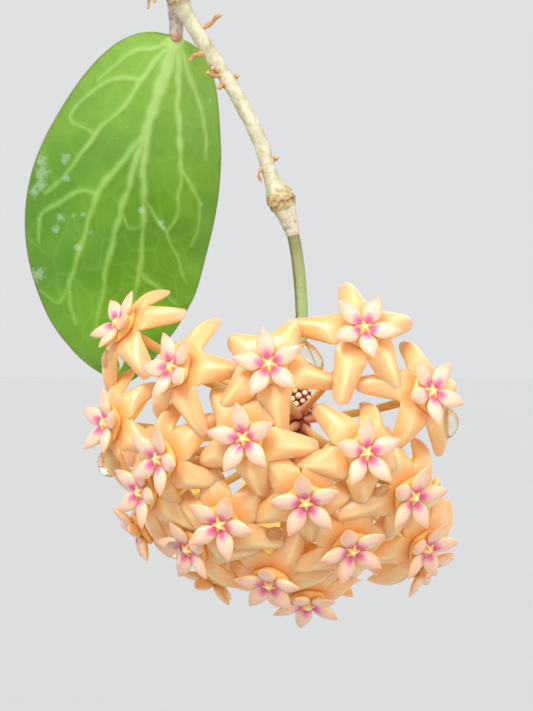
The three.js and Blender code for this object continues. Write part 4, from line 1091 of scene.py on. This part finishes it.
# Veins of a leaf, as shares of its length and of its half width: points, then half thickness at each end in mm
VEINS = [
    ([(0.0, 0.01), (0.149, 0.04), (0.279, 0.06)], 0.75, 0.5),
    (
        [(0.279, 0.06), (0.334, -0.03), (0.469, -0.28), (0.559, -0.34), (0.669, -0.44), (0.724, -0.49), (0.82, -0.45)],
        0.4, 0.18,
    ),
    ([(0.279, 0.06), (0.364, 0.04), (0.504, -0.01), (0.654, -0.1), (0.729, -0.13), (0.86, -0.25)], 0.42, 0.16),
    ([(0.279, 0.06), (0.329, 0.1), (0.456, 0.19), (0.546, 0.24), (0.684, 0.23), (0.8, 0.15), (0.9, 0.1)], 0.42, 0.16),
    ([(0.684, 0.23), (0.741, 0.45), (0.8, 0.6)], 0.26, 0.12),
    (
        [(0.01, 0.0), (0.149, -0.19), (0.226, -0.26), (0.314, -0.47), (0.366, -0.54), (0.416, -0.61), (0.5, -0.82)],
        0.34, 0.16,
    ),
    ([(0.146, -0.2), (0.161, -0.39), (0.214, -0.63), (0.299, -0.78), (0.316, -0.52)], 0.24, 0.12),
    ([(0.01, -0.02), (0.05, -0.16), (0.071, -0.33), (0.119, -0.47), (0.194, -0.63)], 0.28, 0.12),
    ([(0.01, 0.03), (0.121, 0.21), (0.214, 0.35), (0.364, 0.53)], 0.38, 0.26),
    ([(0.364, 0.53), (0.45, 0.57), (0.519, 0.57), (0.561, 0.51), (0.631, 0.62), (0.72, 0.72)], 0.22, 0.12),
    ([(0.364, 0.53), (0.441, 0.77), (0.511, 0.83), (0.6, 0.8)], 0.22, 0.12),
    ([(0.01, 0.04), (0.139, 0.45), (0.226, 0.66), (0.316, 0.76)], 0.3, 0.14),
    ([(0.469, -0.28), (0.476, -0.48), (0.511, -0.65), (0.549, -0.83), (0.62, -0.82)], 0.24, 0.12),
    ([(0.559, 0.51), (0.5, 0.3), (0.456, 0.19)], 0.16, 0.12),
    ([(0.724, -0.49), (0.77, -0.62), (0.74, -0.8)], 0.18, 0.1),
    ([(0.504, -0.01), (0.56, 0.1), (0.546, 0.24)], 0.14, 0.12),
]
RESIDUE = [  # chalky marks on the leaf beside the flowers: share of length, of half width, and size in mm
    (0.42, -0.93, 1.5), (0.45, -0.9, 1.8), (0.48, -0.88, 1.6), (0.5, -0.94, 1.3), (0.4, -0.7, 1.2), (0.45, -0.64, 1.0),
    (0.55, -0.63, 1.1), (0.54, -0.5, 0.6), (0.535, -0.4, 0.7), (0.58, -0.66, 1.0), (0.58, -0.3, 0.7),
    (0.62, -0.42, 0.9), (0.7, -0.82, 1.8), (0.53, 0.42, 1.0), (0.545, 0.46, 0.8), (0.5, 0.2, 1.0), (0.46, 0.82, 0.6),
    (0.135, 0.6, 0.6),
]


def leaf_outline(t):
    """Share of a leaf's half width at a share of its length: full near the stalk, and pointed at the tip."""
    return np.sin(math.pi * t**0.97) ** (0.42 + 0.22 * t)


class VeinMap:
    """Vein strength over a leaf's grid of shares t and across a, shared by every leaf of that grid."""

    LENGTH, HALF = 64.0, 17.0

    def __init__(self, rows, columns):
        self.t = 0.5 - 0.5 * np.cos(math.pi * (np.arange(rows) + 0.5) / rows)
        v = np.linspace(-1, 1, columns + 1)
        self.v = np.sign(v) * (1 - (1 - np.abs(v)) ** 1.15)
        across = self.v[None] * leaf_outline(self.t)[:, None]
        x = np.broadcast_to(self.t[:, None] * self.LENGTH, across.shape)
        y = across * self.HALF
        self.vein, self.swell = 0 * y, 0 * y
        for points, thick, thin in VEINS:
            line = Path([(t * self.LENGTH, a * self.HALF, 0) for t, a in points])
            shares = np.linspace(0, 1, 220)
            for share, (px, py, _) in zip(shares, line.at(shares)):
                reach = (thick + (thin - thick) * share) * (1 + 0.5 * noise.noise(Vector((px * 0.4, py * 0.4, 3))))
                px += 0.3 * noise.noise(Vector((px * 0.3, py * 0.3, 1)))
                py += 0.4 * noise.noise(Vector((px * 0.3, py * 0.3, 2)))
                far = (x - px) ** 2 + (y - py) ** 2
                soft = reach * 1.45 + 0.2
                self.vein = np.maximum(self.vein, np.exp(-far / soft**2) * (0.4 + 0.55 * reach / 0.5))
                self.swell = np.maximum(self.swell, np.exp(-far / (reach * 3.2) ** 2) * min(1, reach / 0.4))
        self.vein = np.clip(self.vein, 0, 1)
        draw = random.Random(11)
        seeds = [(draw.uniform(0, self.LENGTH), draw.uniform(-self.HALF, self.HALF)) for _ in range(130)]
        far = np.sort([np.hypot((x - sx) * 0.8, y - sy) for sx, sy in seeds], axis=0)
        self.fine = np.exp(-(((far[1] - far[0]) / 0.42) ** 2))


def leaf_shape(midrib, side_at, width, cup, veins, mirrored, seed, lopsided=0.0, marks=()):
    """A leaf blade as rings round its length: over the face, round the rim and back under."""
    t, v = veins.t, veins.v
    centre, tangent = midrib.at(t), midrib.along(t)
    across = np.array([side_at(tangent[i]) for i in range(len(t))])
    up = np.cross(tangent, across)
    up /= np.linalg.norm(up, axis=1, keepdims=True)
    outline = leaf_outline(t)
    flow = Vector((seed * 3.7, seed * 1.3, 0))
    flip = slice(None, None, -1) if mirrored else slice(None)
    vein, swell, fine = veins.vein[:, flip], veins.swell[:, flip], veins.fine[:, flip]
    left = outline - 0.075 * lopsided * np.exp(-(((t - 0.24) / 0.17) ** 2))
    right = outline + 0.07 * lopsided * np.exp(-(((t - 0.82) / 0.13) ** 2))
    reach = np.where(v[None] < 0, left[:, None], right[:, None]) * width / 2
    wave = noise_grid(t, v, lambda a, b: Vector((a * 3.2, b * 1.6, 0)) + flow)
    bend = -cup * v[None] ** 2 * reach / width + wave * (0.25 + 0.75 * np.abs(v[None]) ** 2) * width * 0.032
    ends = np.clip(outline / 0.5, 0, 1)[:, None]
    half = (0.2 + 0.28 * (1 - np.abs(v[None]) ** 3)) * (0.45 + 0.55 * ends)
    mid = centre[:, None] + across[:, None] * (v[None] * reach)[..., None] + up[:, None] * bend[..., None]
    hill = half + ends * (0.16 * swell + 0.12 * vein + 0.03 * fine - 0.06)
    valley = half + ends * (0.1 * vein + 0.02)
    top = mid + up[:, None] * hill[..., None]
    low = mid - up[:, None] * valley[..., None]
    rim_out = across * 0.16
    right_rim = (top[:, -1] + low[:, -1]) / 2 + rim_out
    left_rim = (top[:, 0] + low[:, 0]) / 2 - rim_out
    rings = np.concatenate([top, right_rim[:, None], low[:, ::-1], left_rim[:, None]], axis=1)
    rows, around = rings.shape[:2]

    def both(face, rims, under=None, ends=(0, 0)):
        """A value over the face, the rims and the underside of every ring, and at the leaf's two ends."""
        under = face if under is None else under
        edge = np.full((rows, 1), rims)
        return np.concatenate([np.concatenate([face, edge, under[:, ::-1], edge], axis=1).reshape(-1), ends])

    rim = np.broadcast_to(smooth(np.abs(v), 0.93, 1.0)[None], vein.shape)
    mark = 0 * vein
    for share, part, size in marks:
        y = (v[None] * outline[:, None] - part) * width / 2
        far = ((t[:, None] - share) * midrib.length) ** 2 + y**2
        mark = np.maximum(mark, np.exp(-far / size**2))
    grid = np.broadcast_to(t[:, None], vein.shape)
    none = 0 * vein
    shape = Shape()
    points = np.vstack([rings.reshape(-1, 3), centre[:1] - tangent[:1] * 0.15, centre[-1:] + tangent[-1:] * 0.2])
    shape.add(
        points, skin_faces(rows, around, turned_over=True), vein=both(vein, 0.0, vein * 0.6, (1, 0)),
        fine=both(fine, 0.0, none), along=both(grid, 0.5, ends=(0, 1)), rim=both(rim, 1.0, ends=(1, 1)),
        mark=both(mark, 0.0, none), under=both(none, 0.5, none + 1, (0.5, 0.5)), stalk=0.0,
    )
    return shape


def add_stalk(shape, line, radius, foot, seed):
    """A leaf's wrinkled stalk, from a radius at the vine to that of its foot, with a brown collar at the blade."""
    shares = np.linspace(0, 1, len(line))
    sides = 18
    wrinkle = noise_grid(shares, range(sides), lambda s, a: (s * 6, math.cos(a / 3) * 1.3, seed + math.sin(a / 3)))
    collar = smooth(shares, 0.82, 0.93)
    radii = (radius + (foot - radius) * shares + 0.12 * collar)[:, None] * (1 + 0.09 * wrinkle)
    line = np.vstack([line, line[-1:] + unit(line[-1] - line[-2]) * 0.4])
    radii = np.vstack([radii, radii[-1:] * 0.5])
    collar = np.append(collar, 1.0)
    shape.tube(line, radii, sides, stalk=1.0, along=0.0, vein=0.0, fine=0.0, rim=collar, mark=0.0, under=0.0)


def make_hanging_leaf(material):
    """The large leaf beside the flowers, with its chalky marks and a finer grid than the rest."""
    midrib, stalk = Path(HANGING_MIDRIB), Path(HANGING_STALK)
    right = np.array([1, 0.12, 0.05])
    shape = leaf_shape(
        midrib, lambda along: unit(right - along * np.dot(right, along)), HANGING_WIDTH, HANGING_CUP,
        VeinMap(*HANGING_GRID), False, 1, lopsided=1.0, marks=RESIDUE,
    )
    add_stalk(shape, stalk.at(np.linspace(0, 1, 30)), 2.0, 1.1, 1)
    make_piece("leaf_by_flowers", shape.mesh("leaf_by_flowers"), "leaf", material, "leaf_beside_flowers")


def make_other_leaves(material):
    """Leaves that arch out from a knot of their vine and droop towards their tips."""
    veins = VeinMap(*LEAF_GRID)
    for seed, (name, (vine, knot, heading, pitch, droop, roll, length, width)) in enumerate(LEAVES.items(), 2):
        path = Path(VINES[vine]["path"])
        heading, roll = math.radians(heading), math.radians(roll)
        out = np.array([math.cos(heading), math.sin(heading), 0])
        level = np.array([-out[1], out[0], 0])

        def aim(share):
            angle = math.radians(pitch - droop * share)
            return out * math.cos(angle) + np.array([0, 0, math.sin(angle)])

        here = path.at(path.share_near(VINES[vine]["knots"][knot][0])) + aim(0) * STALK_LENGTH
        points = [here]
        for i in range(6):
            points.append(points[-1] + aim((i + 0.5) / 6) * length / 6)
        midrib = Path(points)
        shape = leaf_shape(
            midrib, lambda along: turned(level, along, roll), width, LEAF_CUP, veins, seed % 2 == 0, seed
        )
        root = here + aim(0) * (1 - STALK_LENGTH)
        shares = np.linspace(0, 1, 24)[:, None]
        add_stalk(shape, root + (midrib.at(0.05) - root) * shares, 1.6, 1.0, seed)
        make_piece(name.replace("leaf_", "foliage_"), shape.mesh(name), "leaf", material, name)


def lathe(name, profile, sides):
    """A turned wall: a circle that is extruded and widened up its profile of radius and height, and closed."""
    bpy.ops.object.select_all(action="DESELECT")
    (radius, height), rest = profile[0], profile[1:]
    bpy.ops.mesh.primitive_circle_add(vertices=sides, radius=radius * MM, location=(0, 0, height * MM))
    piece = bpy.context.object
    piece.name = name
    bpy.ops.object.transform_apply(location=True, rotation=True, scale=True)
    bpy.ops.object.mode_set(mode="EDIT")
    bpy.ops.mesh.select_all(action="SELECT")
    for next_radius, next_height in rest:
        up = (0, 0, (next_height - height) * MM)
        bpy.ops.mesh.extrude_edges_move(TRANSFORM_OT_translate={"value": up})
        wider = next_radius / radius
        bpy.ops.transform.resize(value=(wider, wider, 1), center_override=(0, 0, next_height * MM))
        radius, height = next_radius, next_height
    bpy.ops.mesh.select_all(action="SELECT")
    bpy.ops.mesh.remove_doubles(threshold=0.00001)
    bpy.ops.mesh.normals_make_consistent(inside=False)
    bpy.ops.object.mode_set(mode="OBJECT")
    return piece


def drill(piece, radius, depth, place, turn):
    """A round hole through a piece, by a cylinder that is cut away."""
    bpy.ops.object.select_all(action="DESELECT")
    bpy.ops.mesh.primitive_cylinder_add(
        vertices=32, radius=radius * MM, depth=depth * MM, location=[c * MM for c in place], rotation=turn
    )
    cutter = bpy.context.object
    finish_with(piece, "BOOLEAN", operation="DIFFERENCE", object=cutter, solver="EXACT")
    bpy.data.objects.remove(cutter)


def smooth_by_angle(piece, degrees):
    only_select(piece)
    bpy.ops.object.shade_smooth_by_angle(angle=math.radians(degrees))


def make_pot(material):
    """The turned clay pot, with a hole for each wire and softened edges."""
    profile = [(r, BASE_Z + up) for r, up in POT_PROFILE]
    piece = lathe("clay_pot", [*profile, profile[0]], 120)
    for angle in HANGER_ANGLES:
        a = math.radians(angle)
        drill(piece, WIRE_HOLE_RADIUS, 20, (50 * math.cos(a), 50 * math.sin(a), WIRE_HOLE_Z), (0, math.pi / 2, a))
    finish_with(piece, "BEVEL", width=0.5 * MM, segments=3, limit_method="ANGLE", angle_limit=math.radians(14))
    smooth_by_angle(piece, 35)
    piece.data.materials.append(material)
    settle(piece, "clay", "pot")


def add_chip(shape, centre, size, turn, draw, **values):
    """A bark chip: a broken block with uneven corners."""
    corners = np.array([[x, y, z] for z in (-1, 1) for x, y in ((-1, -1), (1, -1), (1, 1), (-1, 1))], float)
    corners *= 1 + np.array([[draw.uniform(-0.34, 0.1) for _ in range(3)] for _ in range(8)])
    middle = np.array([[x, y, 0] for x, y in ((-1, -1), (1, -1), (1, 1), (-1, 1))], float)
    middle *= 1 + np.array([[draw.uniform(0.0, 0.22), draw.uniform(0.0, 0.22), 0] for _ in range(4)])
    points = np.vstack([corners[:4], middle, corners[4:]]) * np.array(size) / 2
    for axis, angle in zip(np.eye(3), turn):
        points = np.array([turned(p, axis, angle) for p in points])
    faces = [(3, 2, 1, 0), (8, 9, 10, 11)]
    for low in (0, 4):
        for i in range(4):
            n = (i + 1) % 4
            faces.append((low + i, low + n, low + 4 + n, low + 4 + i))
    shape.add(points + centre, faces, **values)


def make_mix_bed(material):
    """A heaped bed of fine crumbs, down to the pot's floor."""
    rings, sides = 44, 120
    angles = [2 * math.pi * s / sides for s in range(sides)]
    points = []
    for r in range(rings):
        reach = MIX_RADIUS * (r + 1) / rings
        for angle in angles:
            x, y = reach * math.cos(angle), reach * math.sin(angle)
            lump = noise.noise(Vector((x, y, 0)) * 0.35) + 0.6 * noise.noise(Vector((x, y, 9)) * 0.9)
            points.append((x, y, SOIL_Z + 0.2 + 0.9 * lump - 0.8 * (reach / MIX_RADIUS) ** 4))
    points += [(MIX_FOOT_RADIUS * math.cos(a), MIX_FOOT_RADIUS * math.sin(a), MIX_FOOT_Z) for a in angles]
    points += [(0, 0, SOIL_Z + 0.3), (0, 0, MIX_FOOT_Z)]
    bed = Shape()
    bed.add(points, skin_faces(rings + 1, sides, turned_over=True), tone=0.12, grit=0.0)
    make_piece("mix_bed", bed.mesh("mix_bed"), "mix", material, "potting_mix")


def make_bark_chips(material):
    """Loose bark chips and a little perlite on and in the bed, clear of the stems."""
    draw = random.Random(7)
    chips = Shape()
    placed = 0
    while placed < CHIP_COUNT:
        reach, angle = CHIP_REACH * math.sqrt(draw.random()), draw.uniform(0, 2 * math.pi)
        x, y = reach * math.cos(angle), reach * math.sin(angle)
        size = draw.uniform(2.4, 6.4)
        half = size / 2
        if any(math.hypot(x - a, y - b) < 2.6 + half for a, b in STEM_PLACES) or reach + half > CHIP_LIMIT:
            continue
        placed += 1
        block = (size, size * draw.uniform(0.5, 0.9), size * draw.uniform(0.25, 0.5))
        turn = (draw.uniform(-0.5, 0.5), draw.uniform(-0.5, 0.5), draw.uniform(0, math.pi))
        grit = float(draw.random() < PERLITE_SHARE)
        if grit:
            block = (size * 0.45, size * 0.4, size * 0.36)
        centre = np.array([x, y, SOIL_Z + draw.uniform(-0.2, 1.5)])
        add_chip(chips, centre, block, turn, draw, tone=draw.uniform(0.15, 0.95), grit=grit)
    piece = make_piece("bark_chips", chips.mesh("bark_chips"), "mix", material, "potting_mix")
    finish_with(piece, "BEVEL", width=0.22 * MM, segments=1, limit_method="NONE")
    smooth_by_angle(piece, 40)


def hook_path():
    """Up from the ferrule and round the open curl that hangs on a rail."""
    turns = [math.radians(a) for a in range(-58, 207, 24)]
    curl = [(HOOK_CURL * math.cos(a), 0, -9 + HOOK_CURL * math.sin(a)) for a in turns]
    return Path([(0, 0, -34.2), (0, 0, -26.2), (0.6, 0, -22.5), *curl, (-12.5, 0, -17.5)])


def hanger_path():
    """Down from the ferrule, over the rim, and in through a hole of the pot."""
    return Path([
        (WIRE_SPREAD, 0, -36.2), (WIRE_SPREAD, 0, -39.2), (WIRE_SPREAD, 0, -44.5), (3.65, 0, -49), (51.2, 0, -122),
        (53.6, 0, -127.5), (53.8, 0, -133.4), (52.2, 0, -135.8), (48.63, 0, -136.2), (45.26, 0, -135.8),
        (43.66, 0, -134.2), (43.66, 0, -131),
    ])


def make_rod(name, line, radius, sides, material, node):
    """A bent round rod with blunt ends."""
    line, radii = rounded_ends(line, np.full(len(line), radius), 0.8)
    rod = Shape()
    rod.tube(line, radii, sides)
    make_piece(name, rod.mesh(name), "wire", material, node)


def make_hanger(material):
    make_rod("hook_rod", hook_path().at(np.linspace(0, 1, 150)), HOOK_RADIUS, 20, material, "hook")
    wire = hanger_path().at(np.linspace(0, 1, 240))
    for number, angle in enumerate(HANGER_ANGLES, 1):
        line = [turned(point, np.array([0, 0, 1.0]), math.radians(angle)) for point in wire]
        make_rod(f"wire_{number}", line, WIRE_RADIUS, 16, material, f"hanger_wire_{number}")


def make_ferrule(material):
    """The sleeve that clamps the hook and the wires, with two crimps pressed into it."""
    profile = [(0.2, FERRULE_TOP), (FERRULE_LIP, FERRULE_TOP), (FERRULE_RADIUS, FERRULE_TOP - 0.5)]
    for middle in CRIMPS_Z:
        profile += [(FERRULE_RADIUS, middle + 1.4), (CRIMP_RADIUS, middle + 0.8)]
        profile += [(CRIMP_RADIUS, middle - 0.8), (FERRULE_RADIUS, middle - 1.4)]
    profile += [(FERRULE_RADIUS, FERRULE_BOTTOM + 0.5), (FERRULE_LIP, FERRULE_BOTTOM), (0.2, FERRULE_BOTTOM)]
    piece = lathe("ferrule_sleeve", [*profile, profile[0]], 64)
    drill(piece, HOOK_RADIUS + 0.3, 20, (0, 0, -24.5), (0, 0, 0))
    for angle in HANGER_ANGLES:
        a = math.radians(angle)
        place = (WIRE_SPREAD * math.cos(a), WIRE_SPREAD * math.sin(a), -45.9)
        drill(piece, WIRE_RADIUS + 0.3, 20, place, (0, 0, 0))
    finish_with(piece, "BEVEL", width=0.18 * MM, segments=2, limit_method="ANGLE", angle_limit=math.radians(20))
    smooth_by_angle(piece, 40)
    piece.data.materials.append(material)
    settle(piece, "wire", "ferrule")


# Nectar drops, in millimetres: centre, the way of the long axis, half length along it and half width across it
DROPS = [
    ((-21.2, -61, -301.8), (0, 0, 1), 2.6, 2.4), ((13.4, -81, -283.3), (0.58, 0, -0.81), 3.0, 1.6),
    ((36.2, -73.5, -294.6), (0.2, 0, 1), 2.8, 2.4), ((-10.3, -68.7, -316.4), (0, 0, 1), 1.4, 1.3),
    ((25, -78, -306), (0.9, 0, 0.42), 1.8, 0.9), ((7.4, -74.5, -313.3), (1, 0, 0), 1.7, 1.2),
    ((-21.1, -58, -283.9), (0.2, 0, 1), 2.4, 2.0),
]


def make_drops(material):
    """Clear drops that cling to petals and crowns."""
    for number, (centre, way, long, wide) in enumerate(DROPS, 1):
        shape = Shape()
        tilt = np.linspace(0, math.pi, 26)
        line = np.array(centre) + unit(np.array(way, float)) * (np.cos(tilt) * long)[:, None]
        shape.tube(line, np.maximum(0.02, np.sin(tilt) * wide), 28)
        make_piece(f"nectar_drop_{number}", shape.mesh("drop"), "nectar", material)


def colour_setting(name, description, red, green, blue):
    return bpy.props.FloatVectorProperty(
        name=name, description=description, subtype="COLOR", size=4, min=0, max=1, default=paint(red, green, blue)
    )


class HoyaColours(bpy.types.PropertyGroup):
    """Colours of the plant, its pot and its hanger."""

    petal_base: colour_setting("Petals", "Main colour of the petals", 254, 192, 130)
    petal_tip: colour_setting("Petal tips", "Colour at the ends of the petals", 253, 182, 140)
    corona_tip: colour_setting("Crown tips", "Colour of the outer half of the crown's lobes", 248, 202, 172)
    peduncle: colour_setting("Flower stem", "Green of the flower stem", 162, 184, 120)
    bark: colour_setting("Bark", "Main colour of the old vine", 202, 196, 164)
    leaf: colour_setting("Leaf", "Main green of the leaves", 104, 157, 24)
    leaf_deep: colour_setting("Deep leaf", "Darker green in patches", 84, 138, 12)
    leaf_light: colour_setting("Leaf base", "Paler green near the stalk", 178, 224, 98)
    clay: colour_setting("Clay", "Main colour of the pot", 186, 112, 78)
    mix: colour_setting("Potting mix", "Main colour of the bark chips", 104, 68, 44)
    wire: colour_setting("Wire", "Light tone of the zinc", 196, 198, 198)


class HoyaStage(bpy.types.PropertyGroup):
    """Floor, light and camera."""

    floor_drop: bpy.props.FloatProperty(
        name="Floor drop", description="How far the floor lies under the origin", subtype="DISTANCE", unit="LENGTH",
        default=0.46,
    )
    floor_size: bpy.props.FloatProperty(
        name="Floor size", description="Width of the floor", subtype="DISTANCE", unit="LENGTH", default=40.0
    )
    floor_colour: colour_setting("Floor colour", "Colour of the floor", 183, 184, 184)
    lens: bpy.props.FloatProperty(
        name="Lens", description="Focal length of the camera", subtype="DISTANCE_CAMERA", default=126.56
    )
    eye: bpy.props.FloatVectorProperty(
        name="Eye", description="Place of the camera", subtype="TRANSLATION", unit="LENGTH",
        default=(0.00597, -0.498, -0.28309),
    )


def make_floor(stage):
    f = Finish("studio_floor", Specular_IOR_Level=0.2)
    colour = f.mix(f.noise(600.0), tuple(stage.floor_colour), paint(181, 182, 182))
    bpy.ops.object.select_all(action="DESELECT")
    bpy.ops.mesh.primitive_plane_add(size=stage.floor_size, location=(0, 0, -stage.floor_drop))
    floor = bpy.context.object
    floor.name = "studio_floor"
    floor.data.materials.append(f.finished(colour, 0.85 + f.noise(40.0) * 0.1))


def make_lights():
    """A large soft key from above the camera's left, a weak fill from its right, and an even pale surround."""
    for name, azimuth, height, strength, softness in (
        ("key", -24, 46, 2.35, 22), ("fill", 42, 8, 1.6, 80), ("back", 165, 35, 0.5, 50),
    ):
        light = bpy.data.lights.new(name, "SUN")
        light.energy, light.angle = strength, math.radians(softness)
        lamp = bpy.data.objects.new(name, light)
        a, h = math.radians(azimuth), math.radians(height)
        way = Vector((math.sin(a) * math.cos(h), -math.cos(a) * math.cos(h), math.sin(h)))
        lamp.rotation_euler = way.to_track_quat("Z", "Y").to_euler()
        bpy.context.scene.collection.objects.link(lamp)
    world = bpy.data.worlds.new("studio")
    world.use_nodes = True
    world.node_tree.nodes["Background"].inputs["Color"].default_value = (0.98, 0.99, 1.0, 1.0)
    world.node_tree.nodes["Background"].inputs["Strength"].default_value = 0.76
    bpy.context.scene.world = world


def make_camera(stage):
    camera = bpy.data.cameras.new("camera")
    camera.lens, camera.sensor_width, camera.sensor_fit = stage.lens, 36, "AUTO"
    camera.clip_start, camera.clip_end = 0.02, 100
    stand = bpy.data.objects.new("camera", camera)
    stand.location = stage.eye
    stand.rotation_euler = (math.pi / 2, 0, 0)
    bpy.context.scene.collection.objects.link(stand)
    bpy.context.scene.camera = stand
    bpy.context.scene.view_settings.view_transform = "Standard"


class HOYA_OT_stage(bpy.types.Operator):
    """Lay the floor, set the lights and place the camera"""

    bl_idname = "hoya.stage"
    bl_label = "Stage"

    def execute(self, context):
        make_floor(context.scene.hoya_stage)
        make_lights()
        make_camera(context.scene.hoya_stage)
        return {"FINISHED"}


class HOYA_OT_corollas(bpy.types.Operator):
    """Model the five joined petals of every flower"""

    bl_idname = "hoya.corollas"
    bl_label = "Corollas"

    def execute(self, context):
        make_corollas(petal_finish(context.scene.hoya_colours))
        return {"FINISHED"}


class HOYA_OT_crowns(bpy.types.Operator):
    """Model the crown once and set a copy in every flower"""

    bl_idname = "hoya.crowns"
    bl_label = "Crowns"

    def execute(self, context):
        make_crowns(corona_finish(context.scene.hoya_colours))
        return {"FINISHED"}


class HOYA_OT_flower_stalks(bpy.types.Operator):
    """Model the pedicels, the rachis that they spring from, and the flower stem"""

    bl_idname = "hoya.flower_stalks"
    bl_label = "Flower stalks"

    def execute(self, context):
        make_pedicels(pedicel_finish())
        make_rachis(rachis_finish())
        make_peduncle(peduncle_finish(context.scene.hoya_colours))
        return {"FINISHED"}


class HOYA_OT_vines(bpy.types.Operator):
    """Model the three vines with their knots, bark and aerial roots"""

    bl_idname = "hoya.vines"
    bl_label = "Vines"

    def execute(self, context):
        material = bark_finish(context.scene.hoya_colours)
        for name in VINES:
            make_vine(name, material)
        return {"FINISHED"}


class HOYA_OT_leaves(bpy.types.Operator):
    """Model the leaf beside the flowers and the rest of the leaves, with their veins and stalks"""

    bl_idname = "hoya.leaves"
    bl_label = "Leaves"

    def execute(self, context):
        material = leaf_finish(context.scene.hoya_colours)
        make_hanging_leaf(material)
        make_other_leaves(material)
        return {"FINISHED"}


class HOYA_OT_pot(bpy.types.Operator):
    """Turn the clay pot and fill it with bark mix"""

    bl_idname = "hoya.pot"
    bl_label = "Pot and mix"

    def execute(self, context):
        colours = context.scene.hoya_colours
        make_pot(clay_finish(colours))
        mix = mix_finish(colours)
        make_mix_bed(mix)
        make_bark_chips(mix)
        return {"FINISHED"}


class HOYA_OT_hanger(bpy.types.Operator):
    """Bend the hook and the three wires, and clamp them in the ferrule"""

    bl_idname = "hoya.hanger"
    bl_label = "Hanger"

    def execute(self, context):
        material = wire_finish(context.scene.hoya_colours)
        make_hanger(material)
        make_ferrule(material)
        return {"FINISHED"}


class HOYA_OT_drops(bpy.types.Operator):
    """Hang the nectar drops on the petals"""

    bl_idname = "hoya.drops"
    bl_label = "Nectar drops"

    def execute(self, context):
        make_drops(nectar_finish())
        return {"FINISHED"}


STEPS = (
    HOYA_OT_stage, HOYA_OT_corollas, HOYA_OT_crowns, HOYA_OT_flower_stalks, HOYA_OT_vines, HOYA_OT_leaves,
    HOYA_OT_pot, HOYA_OT_hanger, HOYA_OT_drops,
)


class HOYA_PT_sidebar(bpy.types.Panel):
    """Sidebar panel with every step and its settings"""

    bl_idname = "HOYA_PT_sidebar"
    bl_label = "Potted hoya"
    bl_space_type = "VIEW_3D"
    bl_region_type = "UI"
    bl_category = "Hoya"

    def draw(self, context):
        for step in STEPS:
            self.layout.operator(step.bl_idname)
        for settings in (context.scene.hoya_colours, context.scene.hoya_stage):
            box = self.layout.box()
            for name in settings.bl_rna.properties.keys():
                if name not in ("rna_type", "name"):
                    box.prop(settings, name)


CLASSES = (HoyaColours, HoyaStage, *STEPS, HOYA_PT_sidebar)


def register():
    for cls in CLASSES:
        bpy.utils.register_class(cls)
    bpy.types.Scene.hoya_colours = bpy.props.PointerProperty(type=HoyaColours)
    bpy.types.Scene.hoya_stage = bpy.props.PointerProperty(type=HoyaStage)


def unregister():
    del bpy.types.Scene.hoya_stage
    del bpy.types.Scene.hoya_colours
    for cls in reversed(CLASSES):
        bpy.utils.unregister_class(cls)


def main():
    register()
    bpy.ops.hoya.stage()
    bpy.ops.hoya.corollas()
    bpy.ops.hoya.crowns()
    bpy.ops.hoya.flower_stalks()
    bpy.ops.hoya.vines()
    bpy.ops.hoya.leaves()
    bpy.ops.hoya.pot()
    bpy.ops.hoya.hanger()
    bpy.ops.hoya.drops()


if __name__ == "__main__":
    main()
